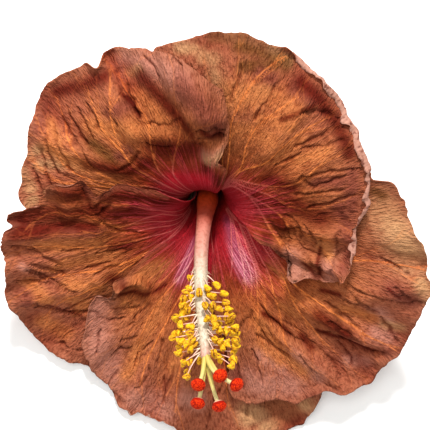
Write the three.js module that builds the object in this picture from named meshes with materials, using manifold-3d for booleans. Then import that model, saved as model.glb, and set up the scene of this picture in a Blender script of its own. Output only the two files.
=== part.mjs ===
// A hibiscus bloom, picked just below its calyx and lying face up. Millimetres, +Z up.
//
// Everything is laid out in the bloom's own frame and then tipped over as one: there +z is the axis that
// the throat opens along, and the petals' base is at the origin. Five petals leave a narrow tube, turn out
// at the throat and spread. Each one lies over its clockwise neighbour and under the other, all the way
// round. The staminal column is a real tube: the ovary sits in its foot, the style runs up through it and
// splits into five branches beyond its tip.
import * as THREE from "three";
import { mergeVertices } from "three/addons/utils/BufferGeometryUtils.js";
import Module from "manifold-3d";

const wasm = await Module();
wasm.setup();

// The bloom as it lies: tipped forward until the lower petals' rims and the cut stalk touch the surface.
const TIPPED_FORWARD = 37.12; // degrees
const ROLLED = -9.749; // degrees
const BASE_AT = [5.44, 32.21, 11.316]; // the petals' base

// Petals.
const PETAL_THICKNESS = 0.8;
const TUBE_RADIUS = 4.4; // middle of a petal's claw, at its base
const TUBE_SLOPE = 9; // degrees off the axis
const THROAT_FROM = 14; // lengths along a petal: the throat turns outwards here
const THROAT_OVER = 34;
const BLADE_FROM = 45; // and from here the blade bends on towards the rim
const BLADE_OVER = 60;
const LAYER_STEP = 3.8; // from one petal to the next, out on the blades
const LAYER_FULL_AT = 38;
const COVERED_SHARE = 0.15; // how much of a fold is left where another petal lies on that side
const FLAT_UNTIL = 24; // no folds below this
const ROWS = 32; // facets across a petal
const STEPS = 13; // and along it
const PETAL_PITCH = 72; // degrees

const radians = THREE.MathUtils.degToRad;
const smooth = (x) => THREE.MathUtils.smoothstep(x, 0, 1);

// clockwise and onward: how far round its middle line a petal's two edges lie, as [length, degrees].
// rim: how long the petal is from one edge, -1, across to the other, 1. folds: ridges (or hollows, with a
// negative height) from one place to another, as [degrees, length, degrees, length, width, height].
const PETALS = {
  petal_lower: {
    middle: 259,
    clockwise: [[0, 30], [12, 31], [28, 43], [40, 53], [46, 54], [54, 50], [61, 45], [76, 46], [86, 43]],
    onward: [[0, 30], [12, 31], [30, 44], [45, 56], [60, 60], [80, 58], [90, 56]],
    rim: [
      [-1, 86], [-0.88, 91], [-0.67, 99], [-0.44, 103], [-0.23, 111], [-0.1, 109], [0.1, 113],
      [0.34, 116], [0.54, 119], [0.61, 120], [0.7, 116], [0.78, 109], [0.88, 99], [1, 90],
    ],
    ruffle: { height: 2.6, waves: [21, 13], starts: [40, 10] },
    folds: [
      [-50, 58, -36, 64, 4.5, 4.5],
      [-46, 72, -34, 70, 4, 3],
      [-36, 96, -24, 78, 9, 2.5],
      [-12, 105, -8, 70, 5, 2],
      [34, 117, 20, 80, 6, -3],
    ],
  },
  petal_right: {
    middle: 331,
    clockwise: [[0, 30], [12, 31], [22, 38], [31, 48], [39, 56], [49, 59], [84, 58], [88, 57]],
    onward: [[0, 30], [12, 31], [30, 45], [45, 57], [60, 62], [80, 62], [88, 60]],
    rim: [
      [-1, 88], [-0.95, 93], [-0.86, 100], [-0.72, 102], [-0.6, 107], [-0.46, 107], [-0.35, 116],
      [-0.12, 117], [0.04, 115], [0.2, 113], [0.34, 108], [0.46, 105], [0.6, 98], [0.72, 95],
      [0.84, 87], [1, 78],
    ],
    ruffle: { height: 2.8, waves: [19, 12], starts: [5, 60] },
    folds: [
      [-30, 66, -22, 108, 5, 3.5],
      [-16, 62, -8, 100, 5, 3],
      [-24, 78, -14, 112, 4, -3],
      [2, 84, 14, 104, 6, 3],
      [-44, 62, -42, 92, 8, 2],
    ],
  },
  petal_upper_right: {
    middle: 43,
    clockwise: [[0, 30], [12, 31], [24, 35], [30, 42], [36, 51], [42, 59], [48, 64], [56, 70], [64, 75]],
    onward: [[0, 30], [12, 31], [30, 45], [45, 58], [60, 64], [80, 66]],
    rim: [
      [-1, 65], [-0.9, 74], [-0.79, 79], [-0.64, 80], [-0.51, 83], [-0.23, 88], [0.05, 93],
      [0.2, 97], [0.48, 99], [0.64, 100], [0.79, 98], [0.88, 97], [0.95, 94], [1, 88],
    ],
    ruffle: { height: 2.2, waves: [23, 12], starts: [25, 80] },
    folds: [
      [-56, 40, -58, 78, 4, 4],
      [-66, 46, -74, 70, 4.5, 5],
      [-40, 52, -42, 76, 4, 3],
      [-8, 62, -8, 84, 4, 2],
      [12, 60, 12, 84, 4, 2],
    ],
  },
  petal_upper_left: {
    middle: 115,
    clockwise: [[0, 30], [12, 31], [24, 38], [34, 43], [41, 42], [48, 37], [62, 36], [70, 32]],
    onward: [[0, 30], [12, 31], [30, 45], [45, 58], [60, 64], [80, 62]],
    rim: [
      [-1, 70], [-0.88, 76], [-0.69, 84], [-0.5, 90], [-0.28, 95], [-0.04, 101], [0.07, 100],
      [0.1, 98], [0.18, 102], [0.37, 104], [0.47, 102], [0.55, 100], [0.64, 96], [0.82, 95],
      [0.92, 93], [1, 86],
    ],
    ruffle: { height: 2.6, waves: [20, 11], starts: [70, 30] },
    folds: [
      [-34, 42, -23, 76, 7, 5],
      [-23, 76, -10, 90, 7, 3.5],
      [-12, 56, 2, 88, 6, -3],
      [10, 70, 8, 100, 3.5, 3],
      [28, 62, 34, 96, 4, 2],
    ],
  },
  petal_left: {
    middle: 187,
    clockwise: [[0, 30], [12, 31], [24, 38], [33, 42], [41, 43], [50, 39], [60, 33], [70, 29], [80, 28]],
    onward: [[0, 30], [12, 31], [30, 45], [45, 57], [60, 62], [80, 60]],
    rim: [
      [-1, 80], [-0.86, 85], [-0.68, 88], [-0.5, 96], [-0.28, 101], [-0.12, 103], [0.02, 101],
      [0.08, 104], [0.27, 107], [0.52, 106], [0.6, 106], [0.7, 103], [0.8, 101], [0.9, 96], [1, 88],
    ],
    ruffle: { height: 2.6, waves: [18, 11], starts: [15, 45] },
    folds: [
      [-40, 46, -30, 44, 5, 2.5],
      [-33, 63, -16, 61, 6, 5],
      [-28, 80, -16, 78, 5, 2.5],
      [-8, 98, -6, 66, 5, 3],
      [24, 66, 14, 100, 5, 2.5],
    ],
  },
};
const PETAL_ORDER = ["petal_lower", "petal_right", "petal_upper_right", "petal_upper_left", "petal_left"];

// Calyx, epicalyx and stalk.
const SEPALS = 5;
const CALYX_THICKNESS = 0.8;
const CALYX_CUP = 17; // up the tube to the notches between the sepals
const CALYX_TIP = 29; // and to their tips
const CALYX_FLOOR = -1.3;
const CALYX_BOTTOM = -3.2;
const BRACTEOLES = 7;
const BRACTEOLE_LENGTH = 15;
const BRACTEOLE_WIDTH = 2.4;
const BRACTEOLE_THICKNESS = 0.9;
const EPICALYX_TOP = -3.5;
const EPICALYX_RADIUS = 4.2;
const EPICALYX_HEIGHT = 1.6;
const STALK_TOP = -5.4;
const STALK_LENGTH = 9;
const STALK_RADIUS = 2; // its end is cut so that it lies flat on the surface

// Column, stamens and pistil, along the column's own curve.
const COLUMN_LENGTH = 96;
const COLUMN_FOOT = -0.9; // where the column starts on the axis
const COLUMN_DROOP = 40; // degrees, at the tip
const DROOP_FROM = 14;
const COLUMN_SWING = 4.5; // degrees to the left half way, and back again
const COLUMN_SIDES = 12;
const COLUMN_OUTSIDE = [[0, 3.4], [6, 3.5], [18, 3.6], [30, 3.1], [45, 2.75], [65, 2.6], [82, 2.2], [96, 1.75]];
const COLUMN_INSIDE = [[0, 2.6], [5, 2.4], [8.5, 1.2], [96, 1.2]];
const OVARY_AND_STYLE = [[0.4, 1.2], [2, 2.1], [4.6, 1.9], [8, 0.85], [97, 0.85]];
const STATIONS = [12, 18, 24, 30, 38, 46, 54, 62, 70, 78, 84, 90]; // of both the column and the style
const STAMENS = 58;
const STAMENS_FROM = 63;
const STAMENS_TO = 94;
const STAMENS_ROUND = [16, 302]; // degrees, from the column's front round by its right: none at front left
const FILAMENT_RADIUS = 0.36;
const FILAMENT_LENGTH = [6, 10.5];
const ANTHER_RADIUS = 1.35;
const BRANCH_RADIUS = 0.75;
const STIGMA_RADIUS = 2.4;
// Each branch of the style: degrees to the right, degrees up, length.
const BRANCHES = [[-20, 28, 14], [-16, 3, 18], [9, -4, 19], [22, 42, 14], [35, 28, 18]];

const AXIS = new THREE.Vector3(0, 0, 1); // of the bloom, in its own frame
const LYING = new THREE.Quaternion().setFromEuler(
  new THREE.Euler(radians(TIPPED_FORWARD), radians(ROLLED), 0),
);

/** A smooth curve through a list of [x, y], read at x. */
function curveAt(points, x) {
  const last = points.length - 1;
  if (x <= points[0][0]) return points[0][1];
  if (x >= points[last][0]) return points[last][1];
  const i = points.findIndex((p) => p[0] > x) - 1;
  const slope = (j) => {
    const [a, b] = [points[Math.max(0, j - 1)], points[Math.min(last, j + 1)]];
    return (b[1] - a[1]) / (b[0] - a[0]);
  };
  const [x0, y0] = points[i];
  const [x1, y1] = points[i + 1];
  const [span, t] = [x1 - x0, (x - x0) / (x1 - x0)];
  const h = t * t * (3 - 2 * t);
  return y0 * (1 - h) + y1 * h + span * t * (1 - t) * (slope(i) * (1 - t) - slope(i + 1) * t);
}

/** Degrees between the bloom's axis and the wall, so far up the petals. */
function slopeAt(length, azimuth) {
  const up = Math.sin(radians(azimuth));
  const throat = 74 + 4 * up;
  const rim = 99.6 + 25 * up - 5.5 * Math.cos(radians(2 * azimuth)) - 8 * Math.cos(radians(4 * azimuth));
  return (
    TUBE_SLOPE +
    (throat - TUBE_SLOPE) * smooth((length - THROAT_FROM) / THROAT_OVER) +
    (rim - throat) * smooth((length - BLADE_FROM) / BLADE_OVER)
  );
}

/** The bloom's common surface: the place so far up the petals and so far round, raised off it by lift. */
function surfaceAt(length, azimuth, lift) {
  const walk = 60;
  let radius = TUBE_RADIUS;
  let height = 0;
  for (let i = 0; i < walk; i++) {
    const slope = radians(slopeAt(((i + 0.5) * length) / walk, azimuth));
    radius += (Math.sin(slope) * length) / walk;
    height += (Math.cos(slope) * length) / walk;
  }
  const slope = radians(slopeAt(length, azimuth));
  const out = radius - Math.cos(slope) * lift;
  const angle = radians(azimuth);
  return new THREE.Vector3(out * Math.cos(angle), out * Math.sin(angle), height + Math.sin(slope) * lift);
}

/** Degrees from a petal's middle line to its edge on the side that across points to. */
const edgeAt = (petal, across, length) => curveAt(across < 0 ? petal.clockwise : petal.onward, length);

const layerStep = (length) => LAYER_STEP * smooth(length / LAYER_FULL_AT);

/** 1 where the petal that many places further round reaches over this place, 0 well clear of it. */
function coverBy(name, places, azimuth, length) {
  const other = PETALS[PETAL_ORDER[(PETAL_ORDER.indexOf(name) + places + 5) % 5]];
  let turn = azimuth - other.middle;
  turn -= 360 * Math.round(turn / 360);
  const edge = edgeAt(other, turn, length);
  const reach = curveAt(other.rim, turn / edge);
  return smooth((edge + 10 - Math.abs(turn)) / 10) * smooth((reach + 9 - length) / 9);
}

/** How far a petal's folds and ruffled rim lift it off the common surface. */
function foldLift(name, across, length, azimuth) {
  const petal = PETALS[name];
  const reach = length / curveAt(petal.rim, across);
  const { height, waves, starts } = petal.ruffle;
  const wave = (i) => Math.sin((2 * Math.PI * (60 * across - starts[i])) / waves[i]);
  let lift = height * reach ** 3 * (0.65 * wave(0) + 0.35 * wave(1));
  const spread = (angle, far) => [far * 0.88 * Math.sin(radians(angle)), far * 0.88 * Math.cos(radians(angle))];
  const [x, y] = spread(azimuth - petal.middle, length);
  for (const [angle0, far0, angle1, far1, width, ridge] of petal.folds) {
    const [[x0, y0], [x1, y1]] = [spread(angle0, far0), spread(angle1, far1)];
    const [dx, dy] = [x1 - x0, y1 - y0];
    const t = THREE.MathUtils.clamp(((x - x0) * dx + (y - y0) * dy) / (dx * dx + dy * dy), 0, 1);
    const away = Math.hypot(x - x0 - t * dx, y - y0 - t * dy) / width;
    lift += ridge * Math.exp(-away * away);
  }
  lift *= smooth((length - FLAT_UNTIL) / 30);
  const cover = lift > 0 ? coverBy(name, 1, azimuth, length) : coverBy(name, -1, azimuth, length);
  return lift * (1 - (1 - COVERED_SHARE) * cover);
}

/** A closed geometry from its vertices and the triangles between them. */
function geometryOf(vertices, triangles) {
  const geometry = new THREE.BufferGeometry().setFromPoints(vertices);
  geometry.setIndex(triangles.flat());
  return geometry;
}

/** A thin leaf: a grid of places given a thickness, and split into triangles alike on both faces. */
function leafGeometry(places, thickness) {
  const [rows, columns] = [places.length, places[0].length];
  const near = (i, j) => places[THREE.MathUtils.clamp(i, 0, rows - 1)][THREE.MathUtils.clamp(j, 0, columns - 1)];
  const face = (side) =>
    places.map((row, i) =>
      row.map((place, j) => {
        const across = near(i + 1, j).clone().sub(near(i - 1, j));
        const along = near(i, j + 1).clone().sub(near(i, j - 1));
        return place.clone().addScaledVector(along.cross(across).normalize(), (side * thickness) / 2);
      }),
    );
  const vertices = [...face(1).flat(), ...face(-1).flat()];
  const at = (face, i, j) => face * rows * columns + i * columns + j;
  const triangles = [];
  for (let i = 0; i < rows - 1; i++)
    for (let j = 0; j < columns - 1; j++) {
      const [a, b, c, d] = [at(0, i, j), at(0, i + 1, j), at(0, i + 1, j + 1), at(0, i, j + 1)];
      const below = rows * columns;
      triangles.push([a, c, b], [a, d, c]);
      triangles.push([a + below, b + below, c + below], [a + below, c + below, d + below]);
    }
  const border = [];
  for (let j = 0; j < columns - 1; j++) border.push([0, j]);
  for (let i = 0; i < rows - 1; i++) border.push([i, columns - 1]);
  for (let j = columns - 1; j > 0; j--) border.push([rows - 1, j]);
  for (let i = rows - 1; i > 0; i--) border.push([i, 0]);
  border.forEach(([i, j], n) => {
    const [k, l] = border[(n + 1) % border.length];
    triangles.push([at(0, i, j), at(1, k, l), at(0, k, l)], [at(0, i, j), at(1, i, j), at(1, k, l)]);
  });
  return geometryOf(vertices, triangles);
}

/** One petal: a row of places from the claw to the rim, for each step from its clockwise edge across. */
function petalGeometry(name) {
  const petal = PETALS[name];
  const shortest = Math.min(petal.rim[0][1], petal.rim.at(-1)[1]);
  const places = Array.from({ length: ROWS + 1 }, (_, i) => {
    const crowded = -Math.cos((Math.PI * i) / ROWS); // rows stand closer at both edges
    const across = THREE.MathUtils.lerp((2 * i) / ROWS - 1, crowded, 0.45);
    const reach = curveAt(petal.rim, across);
    return Array.from({ length: STEPS + 1 }, (_, j) => {
      const t = j / STEPS;
      const length = shortest * t + (reach - shortest) * t * t;
      const turn = across * edgeAt(petal, across, length);
      const azimuth = petal.middle + turn;
      const layer = (-layerStep(length) * turn) / PETAL_PITCH;
      return surfaceAt(length, azimuth, layer + foldLift(name, across, length, azimuth));
    });
  });
  return leafGeometry(places, PETAL_THICKNESS);
}

/** A solid from rings of places, closed at both ends by its first and last place on the axis. */
function ringsGeometry(rings, start, end) {
  const sides = rings[0].length;
  const vertices = [start, ...rings.flat(), end];
  const at = (i, j) => 1 + i * sides + (j % sides);
  const triangles = [];
  for (let j = 0; j < sides; j++) {
    triangles.push([0, at(0, j + 1), at(0, j)]);
    triangles.push([vertices.length - 1, at(rings.length - 1, j), at(rings.length - 1, j + 1)]);
  }
  for (let i = 0; i < rings.length - 1; i++)
    for (let j = 0; j < sides; j++) {
      const [a, b, c, d] = [at(i, j), at(i, j + 1), at(i + 1, j + 1), at(i + 1, j)];
      triangles.push([a, b, c], [a, c, d]);
    }
  return geometryOf(vertices, triangles);
}

/** A level ring of places round the axis. */
function flatRing(radius, height, sides, from = 0) {
  return Array.from({ length: sides }, (_, j) => {
    const angle = (2 * Math.PI * j) / sides + radians(from);
    return new THREE.Vector3(radius * Math.cos(angle), radius * Math.sin(angle), height);
  });
}

/** How far the calyx stands behind the common surface, so that it clears the petals' backs. */
const calyxLift = (length) => -(0.8 + (1.35 * Math.max(0, length)) / 28);

/** The calyx: a cup with five pointed sepals, one behind each gap between petals. */
function calyxGeometry() {
  const sides = SEPALS * 8;
  const up = 5;
  const azimuthOf = (j) => (360 * j) / sides + 7;
  const reachOf = (j) => {
    const share = Math.abs(((j / sides) * SEPALS) % 1 - 0.5) * 2; // 1 in a notch, 0 at a tip
    return CALYX_TIP - (CALYX_TIP - CALYX_CUP) * share ** 0.8;
  };
  const wall = (i, lift) =>
    Array.from({ length: sides }, (_, j) => {
      const length = (reachOf(j) * i) / up;
      return surfaceAt(length, azimuthOf(j), calyxLift(length) - lift);
    });
  const rings = [flatRing(3.6, CALYX_BOTTOM, sides, 7), flatRing(5.4, CALYX_BOTTOM + 1, sides, 7)];
  for (let i = 0; i <= up; i++) rings.push(wall(i, CALYX_THICKNESS));
  for (let i = up; i >= 0; i--) rings.push(wall(i, 0));
  rings.push(flatRing(4.6, CALYX_FLOOR, sides, 7));
  return ringsGeometry(rings, new THREE.Vector3(0, 0, CALYX_BOTTOM), new THREE.Vector3(0, 0, CALYX_FLOOR));
}

/** A geometry as a solid that can be joined to others. */
function solidOf(geometry) {
  const bare = geometry.clone();
  bare.deleteAttribute("normal");
  bare.deleteAttribute("uv");
  const merged = mergeVertices(bare, 1e-4);
  return new wasm.Manifold(
    new wasm.Mesh({
      numProp: 3,
      vertProperties: merged.attributes.position.array,
      triVerts: new Uint32Array(merged.index.array),
    }),
  );
}

/** Several overlapping geometries as one solid's geometry. */
function joined(geometries) {
  const mesh = wasm.Manifold.union(geometries.map(solidOf)).getMesh();
  const geometry = new THREE.BufferGeometry();
  geometry.setAttribute("position", new THREE.BufferAttribute(mesh.vertProperties, 3));
  geometry.setIndex(new THREE.BufferAttribute(mesh.triVerts, 1));
  return geometry;
}

/** One narrow bracteole, rooted in the epicalyx's disc and bending up beside the calyx. */
function bracteoleGeometry(azimuth) {
  const steps = 6;
  const places = [-1, 0, 1].map((across) =>
    Array.from({ length: steps + 1 }, (_, i) => {
      const t = i / steps;
      const out = 3 + 6.8 * Math.sin(t * 1.35) + 4.6 * t * t;
      const up = EPICALYX_TOP - EPICALYX_HEIGHT / 2 + BRACTEOLE_LENGTH * t ** 1.7 * 0.72;
      const width = (BRACTEOLE_WIDTH / 2) * (1 - 0.85 * t ** 3);
      return new THREE.Vector3(out, across * width, up).applyAxisAngle(AXIS, radians(azimuth));
    }),
  );
  return leafGeometry(places, BRACTEOLE_THICKNESS);
}

function epicalyxGeometry() {
  const disc = new THREE.CylinderGeometry(EPICALYX_RADIUS, EPICALYX_RADIUS - 1, EPICALYX_HEIGHT, 20);
  disc.rotateX(Math.PI / 2).translate(0, 0, EPICALYX_TOP - EPICALYX_HEIGHT / 2);
  const blades = Array.from({ length: BRACTEOLES }, (_, i) => bracteoleGeometry((360 * i) / BRACTEOLES + 20));
  return joined([disc, ...blades]);
}

function stalkGeometry() {
  const bottom = STALK_TOP - STALK_LENGTH;
  const up = AXIS.clone().applyQuaternion(LYING.clone().invert());
  const slanted = flatRing(STALK_RADIUS, bottom, 16);
  for (const place of slanted) place.z -= (up.x * place.x + up.y * place.y) / up.z;
  const rings = [
    slanted,
    flatRing(STALK_RADIUS * 0.92, bottom + 3, 16),
    flatRing(STALK_RADIUS, STALK_TOP - 2, 16),
    flatRing(STALK_RADIUS + 0.9, STALK_TOP, 16),
  ];
  return ringsGeometry(rings, new THREE.Vector3(0, 0, bottom), new THREE.Vector3(0, 0, STALK_TOP));
}

/** The column's middle line: up the axis, then drooping, with a slight swing to one side. */
const columnPath = (() => {
  const steps = 200;
  const points = [new THREE.Vector3(0, 0, COLUMN_FOOT)];
  for (let i = 0; i < steps; i++) {
    const along = ((i + 0.5) * (COLUMN_LENGTH + 4)) / steps;
    const droop = radians(COLUMN_DROOP * smooth((along - DROOP_FROM) / (COLUMN_LENGTH - DROOP_FROM)));
    const swing = radians(-COLUMN_SWING * Math.sin((Math.PI * 1.6 * along) / COLUMN_LENGTH));
    const step = new THREE.Vector3(Math.sin(swing), -Math.sin(droop), Math.cos(droop)).normalize();
    points.push(points.at(-1).clone().addScaledVector(step, (COLUMN_LENGTH + 4) / steps));
  }
  return new THREE.CatmullRomCurve3(points);
})();

/** Where the column's middle is, which way it runs, and two directions across it: right, and to the front. */
function columnFrame(along) {
  const t = along / (COLUMN_LENGTH + 4);
  const place = columnPath.getPoint(t);
  const ahead = columnPath.getTangent(t);
  const right = new THREE.Vector3(1, 0, 0).addScaledVector(ahead, -ahead.x).normalize();
  const front = new THREE.Vector3().crossVectors(right, ahead).negate();
  return { place, ahead, right, front };
}

/** A ring round the column's line, or round a branch's. */
function ring({ place, right, front }, radius, sides) {
  return Array.from({ length: sides }, (_, j) => {
    const angle = (2 * Math.PI * j) / sides;
    const aside = right.clone().multiplyScalar(radius * Math.cos(angle));
    return aside.addScaledVector(front, radius * Math.sin(angle)).add(place);
  });
}

function columnGeometry() {
  const stations = [0, 3, 6, 8.5, ...STATIONS, COLUMN_LENGTH];
  const outside = stations.map((s) => ring(columnFrame(s), curveAt(COLUMN_OUTSIDE, s), COLUMN_SIDES));
  const inside = stations.map((s) => ring(columnFrame(s), curveAt(COLUMN_INSIDE, s), COLUMN_SIDES));
  const rings = [...outside, ...inside.reverse()];
  const at = (i, j) => (i % rings.length) * COLUMN_SIDES + (j % COLUMN_SIDES);
  const triangles = [];
  for (let i = 0; i < rings.length; i++)
    for (let j = 0; j < COLUMN_SIDES; j++) {
      const [a, b, c, d] = [at(i, j), at(i, j + 1), at(i + 1, j + 1), at(i + 1, j)];
      triangles.push([a, b, c], [a, c, d]);
    }
  return geometryOf(rings.flat(), triangles);
}

/** A repeatable stream of numbers from 0 to 1. */
function seededDraws(seed) {
  let state = seed;
  return () => {
    state = (state * 1664525 + 1013904223) % 4294967296;
    return state / 4294967296;
  };
}

/** A thin tapering tube through a few places. */
function tubeGeometry(places, radii, sides) {
  const curve = new THREE.CatmullRomCurve3(places);
  const rings = radii.map((radius, i) => {
    const t = i / (radii.length - 1);
    const ahead = curve.getTangent(t);
    const aside = Math.abs(ahead.x) < 0.9 ? new THREE.Vector3(1, 0, 0) : new THREE.Vector3(0, 1, 0);
    const right = aside.addScaledVector(ahead, -aside.dot(ahead)).normalize();
    const front = new THREE.Vector3().crossVectors(right, ahead).negate();
    return ring({ place: curve.getPoint(t), right, front }, radius, sides);
  });
  return ringsGeometry(rings, curve.getPoint(0), curve.getPoint(1));
}

/** Filaments and anthers, more of them round the sides and the back of the column than on its front. */
function stamenGeometries() {
  const draw = seededDraws(11);
  return Array.from({ length: STAMENS }, (_, i) => {
    const along = STAMENS_FROM + ((STAMENS_TO - STAMENS_FROM) * (i + draw())) / STAMENS;
    const { place, ahead, right, front } = columnFrame(along);
    const round = radians(THREE.MathUtils.lerp(...STAMENS_ROUND, (i * 0.618 + 0.08 * draw()) % 1));
    const out = right.clone().multiplyScalar(Math.sin(round)).addScaledVector(front, Math.cos(round));
    const length = THREE.MathUtils.lerp(...FILAMENT_LENGTH, draw());
    const lean = 0.1 + 0.4 * draw() + 0.6 * smooth((along - 84) / 10);
    const depth = (curveAt(COLUMN_OUTSIDE, along) + curveAt(COLUMN_INSIDE, along)) / 2;
    const root = place.clone().addScaledVector(out, depth);
    const mid = root.clone().addScaledVector(out, length * 0.55).addScaledVector(ahead, length * 0.2 * lean);
    const tip = root.clone().addScaledVector(out, length).addScaledVector(ahead, length * lean);
    const filament = tubeGeometry([root, mid, tip], Array(3).fill(FILAMENT_RADIUS), 3);
    const anther = new THREE.IcosahedronGeometry(ANTHER_RADIUS, 0);
    anther.scale(1, 0.9, 0.8).rotateX(3 * draw()).rotateY(3 * draw()).translate(tip.x, tip.y, tip.z);
    return [filament, anther];
  }).flat();
}

/** The ovary, the style up through the column, its five branches and their stigma pads. */
function pistilGeometry() {
  const stations = [0.4, 2, 4.6, 8, ...STATIONS, COLUMN_LENGTH + 1];
  const rings = stations.map((s) => ring(columnFrame(s), curveAt(OVARY_AND_STYLE, s), 8));
  const style = ringsGeometry(rings, columnFrame(stations[0]).place, columnFrame(stations.at(-1)).place);
  const { place, ahead, right, front } = columnFrame(COLUMN_LENGTH - 0.5);
  const branches = BRANCHES.map(([aside, up, length]) => {
    const way = ahead.clone().addScaledVector(right, Math.tan(radians(aside))).addScaledVector(front, Math.tan(radians(up)));
    way.normalize();
    const half = place.clone().addScaledVector(ahead, length * 0.3).addScaledVector(way, length * 0.2);
    const tip = place.clone().addScaledVector(way, length - STIGMA_RADIUS / 2);
    const pad = new THREE.SphereGeometry(STIGMA_RADIUS, 10, 6);
    pad.scale(1, 0.72, 1);
    pad.applyQuaternion(new THREE.Quaternion().setFromUnitVectors(new THREE.Vector3(0, 1, 0), way));
    pad.translate(tip.x, tip.y, tip.z);
    return [tubeGeometry([place, half, tip], Array(5).fill(BRANCH_RADIUS), 6), pad];
  });
  return joined([style, ...branches.flat()]);
}

const MATERIALS = {
  petal: new THREE.MeshStandardMaterial({ color: 0xb06a42, roughness: 0.75 }),
  column: new THREE.MeshStandardMaterial({ color: 0xe6d5c0, roughness: 0.6 }),
  pistil: new THREE.MeshStandardMaterial({ color: 0xd8b85e, roughness: 0.6 }),
  green: new THREE.MeshStandardMaterial({ color: 0x6f7f3a, roughness: 0.7 }),
};

const bloom = new THREE.Group();
function addNode(name, geometry, material) {
  const mesh = new THREE.Mesh(geometry, material);
  mesh.name = name;
  bloom.add(mesh);
}
for (const name of PETAL_ORDER) addNode(name, petalGeometry(name), MATERIALS.petal);
addNode("staminal_column", joined([columnGeometry(), ...stamenGeometries()]), MATERIALS.column);
addNode("pistil", pistilGeometry(), MATERIALS.pistil);
addNode("calyx", calyxGeometry(), MATERIALS.green);
addNode("epicalyx", epicalyxGeometry(), MATERIALS.green);
addNode("flower_stalk", stalkGeometry(), MATERIALS.green);
bloom.quaternion.copy(LYING);
bloom.position.set(...BASE_AT);

const part = new THREE.Group();
part.add(bloom);
export default part;
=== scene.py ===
# %% [markdown]
# # A hibiscus bloom
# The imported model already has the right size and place. This script dresses it: crinkled, veined petals
# over the plain blades, a column with its stamens and hairs, the style with its velvety stigmas, and the
# green parts underneath. Everything is worked out in the bloom's own frame, in millimetres, where +z is
# the axis that the throat opens along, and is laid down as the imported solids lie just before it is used.

# %% Tools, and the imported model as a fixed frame
import math

import bpy
import numpy as np
from mathutils import Matrix, Vector


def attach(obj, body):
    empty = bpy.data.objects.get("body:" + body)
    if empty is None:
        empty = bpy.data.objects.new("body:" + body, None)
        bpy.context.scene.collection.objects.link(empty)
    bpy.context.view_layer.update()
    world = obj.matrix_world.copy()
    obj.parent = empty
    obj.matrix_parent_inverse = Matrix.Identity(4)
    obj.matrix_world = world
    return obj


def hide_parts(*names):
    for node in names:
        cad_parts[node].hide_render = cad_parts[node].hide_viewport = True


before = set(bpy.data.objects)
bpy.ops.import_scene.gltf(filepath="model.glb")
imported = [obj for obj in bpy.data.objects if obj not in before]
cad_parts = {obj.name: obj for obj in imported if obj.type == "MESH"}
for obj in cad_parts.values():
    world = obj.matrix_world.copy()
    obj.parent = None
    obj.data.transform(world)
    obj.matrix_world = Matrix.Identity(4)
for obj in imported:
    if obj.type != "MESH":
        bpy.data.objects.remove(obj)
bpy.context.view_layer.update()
print("solids to dress:", len(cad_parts))

MM = 0.001
TIPPED_FORWARD = math.radians(37.12)
ROLLED = math.radians(-9.749)
BASE_AT = np.array([5.44, 32.21, 11.316])  # the petals' base as the bloom lies
LYING = np.array(Matrix.Rotation(TIPPED_FORWARD, 3, "X") @ Matrix.Rotation(ROLLED, 3, "Y"))


def laid(points):
    """Places in the bloom's frame, in millimetres, as places in the scene, in metres."""
    return (np.asarray(points) @ LYING.T + BASE_AT) * MM


# %% [markdown]
# ## Curves and noise
# Two things turn up in most pieces. One is a smooth curve through a few given points, for a width or
# an outline. The other is noise, the same on each run: a table of seeded numbers with smooth steps
# between them. Wrinkles and frayed rims come from it.

# %% Curves and noise
NOISE_ROWS, NOISE_COLUMNS = 61, 67  # the cells after which the noise repeats


def smooth(x):
    """0 below 0, 1 above 1, and a soft step between."""
    x = np.clip(x, 0, 1)
    return x * x * (3 - 2 * x)


def softer(x):
    """A step from 0 to 1 that also starts and ends with no curvature."""
    return x**3 * (x * (6 * x - 15) + 10)


def mixed(a, b, share):
    return a + (b - a) * share


def curve_at(points, x):
    """A smooth curve through a list of [x, y], read at x."""
    xs, ys = np.array(points, float).T
    x = np.clip(x, xs[0], xs[-1])
    i = np.clip(np.searchsorted(xs, x, side="right") - 1, 0, len(xs) - 2)
    every = np.arange(len(xs))
    before, after = np.maximum(every - 1, 0), np.minimum(every + 1, len(xs) - 1)
    slopes = (ys[after] - ys[before]) / (xs[after] - xs[before])
    span = xs[i + 1] - xs[i]
    t = (x - xs[i]) / span
    h = t * t * (3 - 2 * t)
    bend = span * t * (1 - t) * (slopes[i] * (1 - t) - slopes[i + 1] * t)
    return ys[i] * (1 - h) + ys[i + 1] * h + bend


def noise(x, y, seed):
    """Smooth noise from -1 to 1 over a plane of unit cells."""
    table = np.random.default_rng(seed).uniform(-1, 1, (NOISE_ROWS, NOISE_COLUMNS))
    x, y = np.broadcast_arrays(x, y)
    i, j = np.floor(x).astype(int), np.floor(y).astype(int)
    u, v = softer(x - i), softer(y - j)

    def corner(a, b):
        return table[(i + a) % NOISE_ROWS, (j + b) % NOISE_COLUMNS]

    return mixed(mixed(corner(0, 0), corner(1, 0), u), mixed(corner(0, 1), corner(1, 1), u), v)


# %% [markdown]
# ## Wiring materials with arithmetic
# A material is a graph of nodes, and most of them do plain arithmetic. Adding such nodes by hand is slow
# to read, so one small class wraps a socket and lets Python's operators add the Math nodes. Its method
# `node` makes any other kind from its settings and the values or links of its sockets.

# %% A class that wires nodes
# The Mix node's sockets for colours go by number, because its sockets for numbers have the same names.
MIX_SHARE, MIX_BELOW, MIX_ABOVE, MIX_RESULT = 0, 6, 7, 2


def linear(colour):
    """A colour written as #rrggbb, as the renderer wants it."""
    parts = [int(colour[i : i + 2], 16) / 255 for i in (1, 3, 5)]
    return [p / 12.92 if p <= 0.04045 else ((p + 0.055) / 1.055) ** 2.4 for p in parts] + [1.0]


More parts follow.
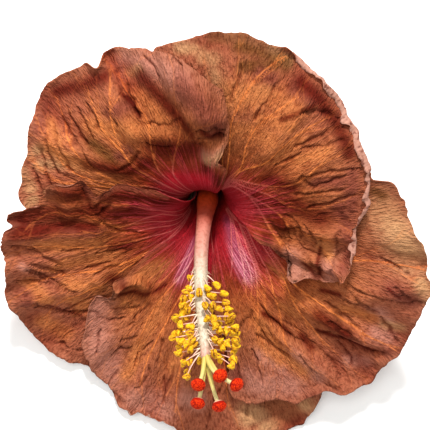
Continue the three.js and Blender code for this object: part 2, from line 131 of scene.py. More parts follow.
class Wire:
    """A socket in a material's tree. Operators on it add Math nodes."""

    def __init__(self, tree, socket=None):
        self.tree, self.socket = tree, socket

    def plug(self, target, value):
        if isinstance(value, str):
            value = linear(value)
        if isinstance(value, Wire):
            self.tree.links.new(value.socket, target)
        else:
            target.default_value = value

    def node(self, kind, settings=None, sockets=None, output=0):
        """Any node, from its type, its settings and its sockets' values or links."""
        node = self.tree.nodes.new("ShaderNode" + kind)
        for name, value in (settings or {}).items():
            if name == "stops":
                elements = node.color_ramp.elements
                while len(elements) < len(value):
                    elements.new(0.5)
                for element, (position, colour) in zip(elements, value):
                    element.position, element.color = position, linear(colour)
            else:
                setattr(node, name, value)
        for name, value in (sockets or {}).items():
            self.plug(node.inputs[name], value)
        return Wire(self.tree, node.outputs[output])

    def maths(self, operation, *values):
        return self.node("Math", {"operation": operation}, dict(enumerate(values)))

    __add__ = __radd__ = lambda self, other: self.maths("ADD", self, other)
    __mul__ = __rmul__ = lambda self, other: self.maths("MULTIPLY", self, other)
    __sub__ = lambda self, other: self.maths("SUBTRACT", self, other)
    __rsub__ = lambda self, other: self.maths("SUBTRACT", other, self)
    __abs__ = lambda self: self.maths("ABSOLUTE", self)

    def ramp(self, low, high):
        """0 below low, 1 above high, smooth between; low may be the larger."""
        if low > high:
            return 1 - self.ramp(high, low)
        sockets = {"Value": self, "From Min": low, "From Max": high}
        return self.node("MapRange", {"interpolation_type": "SMOOTHSTEP"}, sockets)

    def colours(self, *stops):
        """This value as a colour, through a ramp of (value, colour)."""
        return self.node("ValToRGB", {"stops": stops}, {"Fac": self})

    def painted(self, colour, share, blend="MIX"):
        """This colour, with so much of another laid over it."""
        sockets = {MIX_SHARE: share, MIX_BELOW: self, MIX_ABOVE: colour}
        return self.node("Mix", {"data_type": "RGBA", "blend_type": blend}, sockets, MIX_RESULT)

    def times(self, colour, share):
        """This colour, with so much of another multiplied into it."""
        return self.painted(colour, share, "MULTIPLY")

    def attribute(self, name):
        """A number that the piece's points carry."""
        return self.node("Attribute", {"attribute_name": name}, output="Fac")

    def places(self):
        """The place on the piece, in metres."""
        return self.node("TexCoord", output="Object")

    def speckle(self, vector, scale, detail):
        """Noise from 0 to 1 at so many lumps a unit of the vector."""
        return self.node("TexNoise", None, {"Vector": vector, "Scale": scale, "Detail": detail})


def finish(name):
    """A new material, and a wire for its nodes."""
    material = bpy.data.materials.new(name)
    material.use_nodes = True
    return material, Wire(material.node_tree)


def coat(material, colour, roughness, bump=None, depth=None, **constants):
    """Gives a material's shader its colour and roughness, a bump so many metres deep, and constants."""
    wire, shader = Wire(material.node_tree), material.node_tree.nodes["Principled BSDF"]
    wire.plug(shader.inputs["Base Color"], colour)
    wire.plug(shader.inputs["Roughness"], roughness)
    if bump is not None:
        raised = wire.node("Bump", None, {"Height": bump, "Strength": 1.0, "Distance": depth})
        wire.plug(shader.inputs["Normal"], raised)
    sockets = {socket.name.lower().replace(" ", "_"): socket for socket in shader.inputs}
    for name, value in constants.items():
        wire.plug(sockets[name], value)
    print(f"{material.name}: {len(material.node_tree.nodes)} nodes")
    return material


# %% [markdown]
# ## Making and finishing pieces
# Each piece starts as one of the program's primitives. Here are the few steps that all of them share: add it
# with nothing else selected, move its points in code, merge what meets, apply a modifier, and hide the
# imported solid it stands for. Points could also be pulled about by hand in edit mode, but a petal has tens
# of thousands of them, and a rule moves them all at once.

# %% Steps that pieces share
MEETING = 1e-7  # metres; points closer than this are one


def select_only(*pieces):
    """Selects these pieces and nothing else, with the first one active."""
    bpy.ops.object.select_all(action="DESELECT")
    for piece in pieces:
        piece.select_set(True)
    bpy.context.view_layer.objects.active = pieces[0]


def primitive(name, kind, **settings):
    """A new primitive mesh, alone selected."""
    bpy.ops.object.select_all(action="DESELECT")
    getattr(bpy.ops.mesh, f"primitive_{kind}_add")(**settings)
    piece = bpy.context.object
    piece.name = piece.data.name = name
    return piece


def places_of(piece):
    places = np.empty(len(piece.data.vertices) * 3)
    piece.data.vertices.foreach_get("co", places)
    return places.reshape(-1, 3)


def move_to(piece, places):
    piece.data.vertices.foreach_set("co", np.asarray(places, float).ravel())
    piece.data.update()


def give(piece, name, values):
    """A number on every point of a piece, for its material to read."""
    values = np.asarray(values, float)
    piece.data.attributes.new(name, "FLOAT", "POINT").data.foreach_set("value", values)


def sealed(piece):
    """Merges the points that meet in a closed piece, and turns its faces outwards."""
    select_only(piece)
    bpy.ops.object.mode_set(mode="EDIT")
    bpy.ops.mesh.select_all(action="SELECT")
    bpy.ops.mesh.remove_doubles(threshold=MEETING)
    bpy.ops.mesh.select_all(action="SELECT")
    bpy.ops.mesh.normals_make_consistent(inside=False)
    bpy.ops.object.mode_set(mode="OBJECT")


def modify(piece, kind, **settings):
    """Adds a modifier and applies it."""
    select_only(piece)
    modifier = piece.modifiers.new(kind.title(), kind)
    for name, value in settings.items():
        setattr(modifier, name, value)
    bpy.ops.object.modifier_apply(modifier=modifier.name)


def joined(name, pieces):
    """Several pieces as one."""
    select_only(*pieces)
    bpy.ops.object.join()
    pieces[0].name = pieces[0].data.name = name
    return pieces[0]


def copied(piece, name, places):
    """A copy of a piece with a mesh of its own, whose points are moved to these places."""
    made = piece.copy()
    made.data = piece.data.copy()
    made.name = made.data.name = name
    bpy.context.collection.objects.link(made)
    move_to(made, places)
    return made


def hand_over(piece, slot, nodes, *materials):
    """Smooth shading, materials, the body it rides on, and the solids it stands for; its finish's slot is
    not used.
    """
    select_only(piece)
    bpy.ops.object.shade_smooth()
    for material in materials:
        piece.data.materials.append(material)
    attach(piece, "root")
    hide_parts(*nodes)
    places = places_of(piece)
    triangles = sum(len(face.vertices) - 2 for face in piece.data.polygons)
    print(f"{piece.name}: {triangles} triangles, {np.round(np.ptp(places, axis=0) / MM, 1)} mm")


# %% [markdown]
# ## The common surface of the petals
# All five petals lie on one trumpet-shaped surface. A petal is drawn on it by two numbers, how far up it
# is and how far round, and a third lifts it off the surface. The slope grows up the throat and bends on
# towards the rim, more on the upper petals than on the lower ones. Walking up that slope in small steps
# gives a place for each pair of numbers. Five sheets shaped one by one would cut into each other where
# they overlap. On one surface, a small lift keeps each clear of the next.

# %% The common surface
TUBE_RADIUS, TUBE_SLOPE = 4.4, 9  # slopes are in degrees off the axis
THROAT_SLOPE, THROAT_MORE_ABOVE = 74, 4
RIM_SLOPE, RIM_MORE_ABOVE = 99.6, 25
RIM_LESS_TWICE_ROUND, RIM_LESS_FOUR_TIMES_ROUND = 5.5, 8
THROAT_FROM, THROAT_OVER = 14, 34  # lengths up a petal
BLADE_FROM, BLADE_OVER = 45, 60
WALK = 60  # steps


def surface_at(length, azimuth, lift=0.0):
    """The place so far up the petals and so far round, raised off the surface by lift."""
    length, azimuth, lift = np.broadcast_arrays(length, azimuth, lift)
    around = np.radians(azimuth)
    up = np.sin(around)
    throat = THROAT_SLOPE + THROAT_MORE_ABOVE * up
    rim = RIM_SLOPE + RIM_MORE_ABOVE * up
    rim = rim - RIM_LESS_TWICE_ROUND * np.cos(2 * around) - RIM_LESS_FOUR_TIMES_ROUND * np.cos(4 * around)

    def slope_at(far):
        opened = (throat - TUBE_SLOPE) * smooth((far - THROAT_FROM) / THROAT_OVER)
        return np.radians(TUBE_SLOPE + opened + (rim - throat) * smooth((far - BLADE_FROM) / BLADE_OVER))

    radius, height = np.full(length.shape, TUBE_RADIUS), np.zeros(length.shape)
    for i in range(WALK):
        slope = slope_at((i + 0.5) * length / WALK)
        radius += np.sin(slope) * length / WALK
        height += np.cos(slope) * length / WALK
    slope = slope_at(length)
    out = radius - np.cos(slope) * lift
    return np.stack([out * np.cos(around), out * np.sin(around), height + np.sin(slope) * lift], -1)


for side, azimuth in (("above", 90), ("below", 270)):
    print(f"100 mm up the petal {side}, the surface is at", np.round(surface_at(100, azimuth), 1))

# %% [markdown]
# ## The petals' outlines and folds
# Each petal is described by a few lists. `middle` is where its middle line points, in degrees round the
# throat. `clockwise` and `onward` say how many degrees its two edges lie from that line as it goes up, and
# `rim` how long it is, at even steps from one edge across to the other. `clockwise` has a value at each
# length of its foot, then at even steps, and the last where the edge `ends`. These two lists were fitted to
# the real bloom's outline by a small program and then changed by hand in places, so they have its small bays
# and points. `curl` says how far the rim is rolled forward, in degrees, over a strip as wide as `band`.
# `ruffle` is the height of the rim's waves, the lengths of two waves, and where they start.
# `folds` are ridges, or hollows where the height is negative, given as height, width and a line.
# `creases` are the sharp small ones. A line runs through a few places, as degrees and length. The folds, the
# creases, and later on the veins, the patches and the anthers, were picked on a photograph, and turned into
# degrees and millimetres.

# %% The petals' outlines and folds
PETALS = {
    "petal_lower": dict(
        middle=259, ends=88, band=4.5, ruffle=(1.6, (21, 13), (40, 10)),
        clockwise=[
            30, 31, 37.7, 40.6, 43, 45.1, 51.7, 55.2, 55.9, 55.2, 53.3, 51.6, 50.7, 49.6, 48.4, 48.1,
            49.4, 48.6, 44.7, 43.8, 47.9, 48.3, 47.9, 45,
        ],
        onward=[[0, 30], [12, 46], [22, 52], [30, 52], [45, 56], [60, 60], [80, 58], [90, 56]],
        rim=[
            72, 78.8, 82.2, 86.3, 89.4, 93, 95, 96.3, 96.6, 99.1, 100.8, 101.8, 102.1, 102.3, 103.6,
            105.8, 108.5, 109, 112.9, 111.2, 111.2, 111.7, 111.4, 111.4, 110.4, 112, 112.7, 113.4, 113.9,
            114.4, 114.9, 115.4, 115.9, 116.5, 117.1, 117.8, 118.4, 119, 119.5, 119.6, 116.4, 114.7,
            112.2, 107.9, 103.6, 99.4, 96, 93, 90,
        ],
        curl=[[-1, 30], [-0.5, 20], [-0.32, 50], [-0.26, 150], [0.06, 120], [0.12, 30], [1, 20]],
        folds=[
            (4.6, 1.5, [(-46, 66), (-45, 61), (-41, 58), (-34, 57.5)]),
            (-4.2, 1.4, [(-41, 67), (-37, 62.5), (-31, 61), (-28, 59), (-23, 53)]),
            (2.2, 3.5, [(-50, 70), (-38, 67)]), (2, 6, [(-36, 96), (-24, 78)]),
            (2, 5, [(-12, 105), (-8, 70)]), (-3, 6, [(34, 117), (20, 80)]), (1.6, 5, [(2, 62), (4, 108)]),
        ],
        creases=[
            [(-48, 75), (-45, 72), (-41, 70)], [(-44, 81), (-40, 79), (-35, 78), (-31, 73)],
            [(-37, 73), (-34, 70), (-29, 67)], [(-27, 74), (-26, 67), (-24, 63)],
            [(-26, 81), (-23, 79), (-21, 77)], [(-25, 89), (-24, 85), (-21, 82)],
            [(-13, 98), (-11, 94), (-11, 88)], [(-3, 101), (-3, 96), (-5, 90)], [(-18, 104), (-14, 106)],
            [(-14, 77), (-17, 83), (-16, 90)], [(-2, 86), (-3, 94)], [(-20, 94), (-20, 103)],
            [(9, 68), (4, 75), (0, 82)], [(17, 88), (12, 100), (10, 110)], [(-34, 84), (-30, 92)],
            [(24, 92), (22, 106)], [(-10, 74), (-9, 84)],
        ],
    ),
    "petal_right": dict(
        middle=331, ends=96, band=4.2, ruffle=(1.8, (19, 12), (5, 60)),
        clockwise=[
            30, 31, 40, 46.9, 51.3, 54, 56, 57.3, 58.2, 58.8, 59, 59.1, 59.1, 59.2, 57.6, 56.3, 55.2,
            54.2, 52.6, 52.5, 52.8, 53, 53, 53, 53, 54.4, 57,
        ],
        onward=[[0, 30], [12, 46], [22, 52], [30, 53], [45, 57], [60, 62], [80, 62], [88, 60]],
        rim=[
            86.8, 93, 96, 98.1, 100, 99.6, 99.3, 100.9, 103.8, 106.9, 106.5, 106.7, 107.5, 107.6, 113.4,
            115.9, 116.6, 119, 116.9, 116.3, 115.7, 116.9, 116.7, 116.7, 115.1, 114.2, 113.3, 112.9,
            112.9, 112.7, 114.6, 109.6, 108.8, 107.7, 106.1, 104.2, 101.4, 99.8, 98.5, 98.3, 96.7, 96,
            94.4, 88, 87.4, 84.9, 82.6, 80.3, 78,
        ],
        curl=[[-1, 20], [-0.62, 40], [-0.5, 90], [-0.38, 90], [-0.28, 40], [0.2, 30], [1, 30]],
        folds=[
            (3.5, 5, [(-30, 66), (-22, 108)]), (3, 5, [(-16, 62), (-8, 100)]),
            (-4, 3, [(-24, 70), (-21, 82), (-20, 94), (-21, 108)]), (3, 6, [(2, 84), (14, 104)]),
            (2, 8, [(-44, 62), (-42, 92)]), (-2.5, 2.4, [(-30, 62), (-27, 74), (-23, 84)]),
            (-2.6, 2.4, [(-16, 84), (-12, 96), (-9, 112)]),
        ],
        creases=[
            [(-29, 63), (-27, 69), (-27, 75), (-23, 84)],
            [(-24, 72), (-21, 80), (-20, 92), (-20, 100), (-22, 108)],
            [(-16, 85), (-12, 89), (-12, 96), (-12, 103), (-9, 112)], [(-9, 84), (-8, 91), (-10, 106)],
            [(-35, 72), (-33, 79), (-30, 86)], [(-26, 87), (-26, 96)], [(-46, 68), (-42, 66), (-35, 63)],
            [(7, 82), (7, 89), (8, 97), (9, 108)], [(13, 99), (10, 107), (11, 112)],
            [(1, 83), (2, 91), (2, 99)], [(-14, 94), (-15, 102), (-17, 106)],
            [(-38, 71), (-34, 78), (-31, 84)], [(-4, 78), (-6, 97)], [(5, 84), (0, 102), (-4, 113)],
            [(-41, 77), (-42, 90)], [(20, 90), (17, 102)], [(-50, 80), (-49, 92)],
        ],
    ),
    "petal_upper_right": dict(
        middle=43, ends=76, band=4.1, ruffle=(1.4, (23, 12), (25, 80)),
        clockwise=[
            30, 31, 35, 42, 47.3, 50.7, 54.2, 57.4, 58.5, 57.5, 58.5, 62, 62.9, 65, 71.1, 71.6, 69.1,
            68.2, 69,
        ],
        onward=[[0, 30], [12, 46], [22, 52], [30, 53], [45, 58], [60, 64], [80, 66]],
        rim=[
            56.7, 72.4, 77.1, 78.4, 79.2, 80.3, 81.3, 81.7, 83, 82.5, 81.4, 82.1, 85, 87.2, 87.8, 88.8,
            89.4, 90.8, 91.5, 91.5, 91.8, 94, 93.6, 94.4, 95.5, 97.1, 97.4, 97.8, 98.3, 98.8, 101.4,
            101.8, 101.7, 100.4, 98.6, 98.7, 99.5, 100.2, 100.7, 99.8, 100, 99.8, 98.9, 98.5, 97.7, 97.1,
            96.8, 96.3, 88,
        ],
        curl=[
            [-1, 20], [-0.9, 50], [-0.76, 130], [-0.64, 180], [-0.5, 200], [0, 205], [0.28, 200],
            [0.36, 130], [0.42, 30], [1, 15],
        ],
        folds=[
            (4, 4, [(-56, 40), (-58, 78)]), (4.5, 4.5, [(-66, 46), (-72, 66)]),
            (3, 4, [(-40, 52), (-42, 76)]), (2, 4, [(-8, 62), (-8, 84)]), (2, 4, [(12, 60), (12, 84)]),
            (-3, 2.6, [(-42, 56), (-52, 61), (-56, 68)]), (3, 4, [(-71, 62), (-69, 72)]),
            (3.4, 3.6, [(-60, 79), (-48, 80)]), (-2.4, 1.8, [(-62, 67), (-64, 76)]),
        ],
        creases=[
            [(-34, 53), (-52, 58), (-61, 67)], [(-42, 50), (-60, 55), (-72, 61)],
            [(-44, 66), (-56, 68), (-68, 70)], [(-40, 72), (-52, 73), (-62, 73)],
            [(12, 80), (6, 85), (-2, 89)], [(1, 69), (-4, 78), (-8, 86)],
            [(-10, 62), (-14, 73), (-18, 85)], [(-28, 62), (-27, 72), (-26, 82)], [(-60, 46), (-66, 54)],
            [(-32, 52), (-38, 56), (-48, 58)], [(-37, 59), (-42, 62), (-50, 65)], [(-54, 60), (-55, 68)],
            [(-34, 51), (-41, 52), (-55, 55)], [(-34, 45), (-48, 49), (-55, 53)],
            [(-9, 63), (-18, 66), (-18, 72), (-18, 78)], [(-19, 58), (-21, 67), (-23, 76)],
            [(-30, 69), (-31, 75), (-33, 78)], [(12, 79), (8, 84)], [(4, 69), (1, 75), (-1, 81)],
            [(3, 58), (1, 64), (0, 68)], [(-33, 65), (-32, 72), (-36, 75)], [(26, 70), (24, 84)],
            [(38, 74), (36, 88)],
        ],
    ),
    "petal_upper_left": dict(
        middle=115, ends=78, band=4.2, ruffle=(1.6, (20, 11), (70, 30)),
        clockwise=[
            30, 31, 38, 41.4, 43, 43, 42.5, 41.9, 41.1, 41.5, 37.3, 31.9, 33.4, 34.5, 35.6, 35.8, 35.4,
            34.6, 33.4, 33,
        ],
        onward=[[0, 30], [12, 58], [22, 64], [30, 60], [45, 58], [60, 64], [80, 62]],
        rim=[
            70, 74.5, 79, 79.6, 80.5, 81.2, 82.8, 83.8, 84.7, 85.9, 87.3, 88.6, 90.1, 91.2, 92.5, 93.1,
            93.9, 95, 95.8, 97.2, 97.5, 97.7, 98.7, 99.8, 101.4, 102.7, 103.2, 97.9, 102, 102, 103, 104.9,
            105.6, 106.9, 105.8, 104.9, 102.9, 101.2, 100.1, 99.2, 97.4, 97.7, 96.9, 96.2, 97, 95.6, 93.2,
            90, 86,
        ],
        curl=[
            [-1, 20], [0, 15], [0.06, 90], [0.14, 90], [0.2, 40], [0.36, 60], [0.5, 40], [0.8, 60],
            [1, 120],
        ],
        folds=[
            (5, 7, [(-34, 42), (-23, 76)]), (3.5, 7, [(-23, 76), (-10, 90)]),
            (-3, 5, [(-12, 56), (-8, 74), (0, 90)]), (3, 3.5, [(10, 70), (8, 100)]),
            (2, 4, [(28, 62), (34, 96)]), (2.6, 3, [(-17, 69), (-24, 70), (-31, 69)]),
            (-3, 2.6, [(-14, 51), (-23, 57), (-30, 61)]),
            (2.5, 3, [(4, 65), (-3, 63), (-8, 61), (-14, 59)]),
        ],
        creases=[
            [(3, 87), (4, 82), (3, 75)], [(27, 93), (29, 87), (30, 80), (35, 70)],
            [(24, 92), (26, 85), (28, 79)], [(30, 93), (35, 86), (40, 79)],
            [(33, 93), (38, 89), (43, 83)], [(38, 93), (43, 89), (49, 83)],
            [(17, 91), (18, 85), (20, 80)], [(45, 93), (49, 89), (53, 85)],
            [(21, 91), (23, 84), (25, 78)], [(-15, 90), (-17, 88)], [(3, 82), (4, 74)],
            [(14, 62), (22, 60), (30, 64)], [(2, 70), (-6, 67), (-12, 68)], [(8, 64), (4, 60), (-4, 58)],
            [(12, 84), (13, 76)], [(-6, 94), (-9, 86)], [(-20, 60), (-28, 63), (-33, 62)],
            [(-19, 64), (-27, 66), (-33, 65)],
        ],
    ),
    "petal_left": dict(
        middle=187, ends=88, band=4.2, ruffle=(1.6, (18, 11), (15, 45)),
        clockwise=[
            30, 42, 47, 46, 46, 47, 46.8, 46.9, 47.1, 46.5, 44.7, 41.8, 39.9, 39.6, 39.2, 37.4, 30.2,
            26.2, 28.4, 30.5, 32, 31.4, 30.8, 29,
        ],
        onward=[[0, 30], [12, 46], [22, 52], [30, 53], [45, 57], [60, 62], [80, 60]],
        rim=[
            75.4, 76.9, 84.3, 85.5, 85.8, 85.9, 86.2, 87.4, 88.1, 88.5, 91.8, 94.7, 97.8, 99, 99.5, 97.7,
            100.6, 101.2, 101.9, 102.4, 102.8, 103, 102.1, 102.1, 101.8, 103.2, 103.3, 104.5, 106.2,
            107.1, 107.5, 106.5, 107, 107.7, 107.4, 107.8, 108.2, 107.8, 106.5, 104.8, 104.7, 103.2,
            102.1, 101.3, 99.7, 97.5, 94.8, 91.5, 88,
        ],
        curl=[[-1, 40], [-0.3, 50], [0.1, 30], [0.5, 60], [1, 20]],
        folds=[
            (2.5, 5, [(-40, 46), (-30, 44)]), (2.2, 6, [(-33, 61), (-16, 60)]),
            (-3, 3.4, [(-30, 70), (-20, 66)]), (3, 4, [(-29, 79), (-16, 77)]),
            (3, 5, [(-8, 98), (-6, 66)]), (2.5, 5, [(24, 66), (14, 100)]),
            (-2, 4, [(-22, 84), (-12, 80)]),
        ],
        creases=[
            [(-4, 96), (-3, 90), (2, 86)], [(2, 92), (5, 88), (11, 81)], [(4, 95), (10, 89)],
            [(7, 101), (9, 95), (12, 88), (15, 85), (17, 82)], [(12, 72), (13, 67), (14, 63)],
            [(16, 70), (16, 66), (17, 61)], [(5, 66), (8, 61), (9, 56)],
            [(-31, 64), (-23, 65), (-18, 66)], [(-30, 73), (-25, 70), (-19, 67)],
            [(16, 97), (20, 95), (24, 91)], [(34, 102), (37, 100), (41, 97)], [(0, 79), (1, 74), (1, 71)],
            [(-26, 61), (-20, 63), (-15, 65)], [(-4, 97), (0, 88), (5, 82)],
            [(4, 93), (11, 87), (19, 81)], [(18, 98), (25, 90), (31, 82)], [(-16, 66), (-4, 55), (2, 46)],
            [(26, 76), (24, 90)],
        ],
    ),
}
EDGE_FOOT = [0, 12, 24, 30]
EDGE_FROM, EDGE_STEP = 34, 2.5
for name, outline in PETALS.items():
    steps = len(outline["clockwise"]) - len(EDGE_FOOT) - 1
    lengths = [*EDGE_FOOT, *(EDGE_FROM + EDGE_STEP * np.arange(steps)), outline["ends"]]
    outline["clockwise"] = list(zip(lengths, outline["clockwise"]))
    print(f"{name}: up to {max(outline['rim'])} mm long, {len(outline['folds'])} folds")
    outline["rim"] = list(zip(np.linspace(-1, 1, len(outline["rim"])), outline["rim"]))

# %% [markdown]
# ## Places on a petal
# Folds, creases, veins and colours are all drawn on the petals, so they share a flat map of a petal, in
# millimetres, and the distance from a line on it. Where a neighbour covers a petal the folds are flattened,
# because the two would cut through each other.

# %% Places on a petal
ORDER = list(PETALS)
PITCH = 72  # degrees from one petal to the next
LAYER_STEP, LAYER_FULL_AT = 3.8, 38  # how far a petal stands clear of the next, and from which length on
ARC = 0.88  # the flat map's scale: a trumpet is less wide round than a flat disc
COVER_BESIDE, COVER_BEYOND = 10, 9  # degrees and millimetres over which a neighbour's cover fades


def edge_at(petal, across, length):
    return np.where(across < 0, curve_at(petal["clockwise"], length), curve_at(petal["onward"], length))


def cover_by(name, places, azimuth, length):
    """1 where the petal that many places further round reaches over this place, 0 well clear of it."""
    other = PETALS[ORDER[(ORDER.index(name) + places) % len(ORDER)]]
    turn = azimuth - other["middle"]
    turn = turn - 360 * np.round(turn / 360)
    edge = edge_at(other, turn, length)
    reach = curve_at(other["rim"], turn / edge)
    beside = smooth((edge + COVER_BESIDE - np.abs(turn)) / COVER_BESIDE)
    return beside * smooth((reach + COVER_BEYOND - length) / COVER_BEYOND)


def spread(turn, length):
    """A petal's own flat map, in millimetres: its middle line runs up y."""
    return ARC * length * np.sin(np.radians(turn)), ARC * length * np.cos(np.radians(turn))


def near_line(x, y, x0, y0, x1, y1):
    """How far places are from a line's nearest point, and on which side."""
    dx, dy = x1 - x0, y1 - y0
    size = dx * dx + dy * dy + 1e-9  # never nothing, for a line of no length
    t = np.clip(((x - x0) * dx + (y - y0) * dy) / size, 0, 1)
    away = np.hypot(x - x0 - t * dx, y - y0 - t * dy)
    return away, np.sign((x - x0) * dy - (y - y0) * dx)


def gap_to(line, x, y):
    """How far places are from a line through several points of a petal, in millimetres."""
    stops = [spread(*stop) for stop in line]
    return np.min([near_line(x, y, *a, *b)[0] for a, b in zip(stops, stops[1:])], axis=0)


def ridges(folds, turn, length):
    """The height of a list of folds."""
    x, y = spread(turn, length)
    return sum(height * np.exp(-((gap_to(line, x, y) / width) ** 2)) for height, width, line in folds)


# %% [markdown]
# ## Creases
# The folding in the bud leaves sharp creases in the blade, each a narrow floor between two small ridges,
# that wanders a little. A sculpting brush could draw them, but it needs a hand. A height worked out from
# the distance to a line needs none, and fits any mesh.

# %% Creases
CREASE_DEPTH, CREASE_WIDTH = 1.0, 1.2
CREASE_WANDER, WANDER_CELL, WIDTH_CELL = 0.7, 2.6, 3.5  # millimetres
# A crease's floor is painted darker, as painted shade.
CREASE_RIDGES, CREASE_FLOOR = 1.6, 2  # how far the ridges beside a crease reach, and how narrow its floor is


def furrows(creases, turn, length):
    """The height of sharp creases, each between two small ridges, and how much painted shade each place gets
    on a crease's floor.
    """
    x, y = spread(turn, length)
    x = x + CREASE_WANDER * noise(x / WANDER_CELL, y / WANDER_CELL, 61)
    y = y + CREASE_WANDER * noise(x / WANDER_CELL, y / WANDER_CELL, 62)
    width = CREASE_WIDTH * (0.65 + 0.35 * noise(x / WIDTH_CELL, y / WIDTH_CELL, 63))
    across = np.min([gap_to(line, x, y) for line in creases], axis=0) / width
    height = CREASE_DEPTH * (across**2 - 1) * np.exp(-(across**2) / CREASE_RIDGES)
    return height, np.exp(-(across**2) * CREASE_FLOOR)
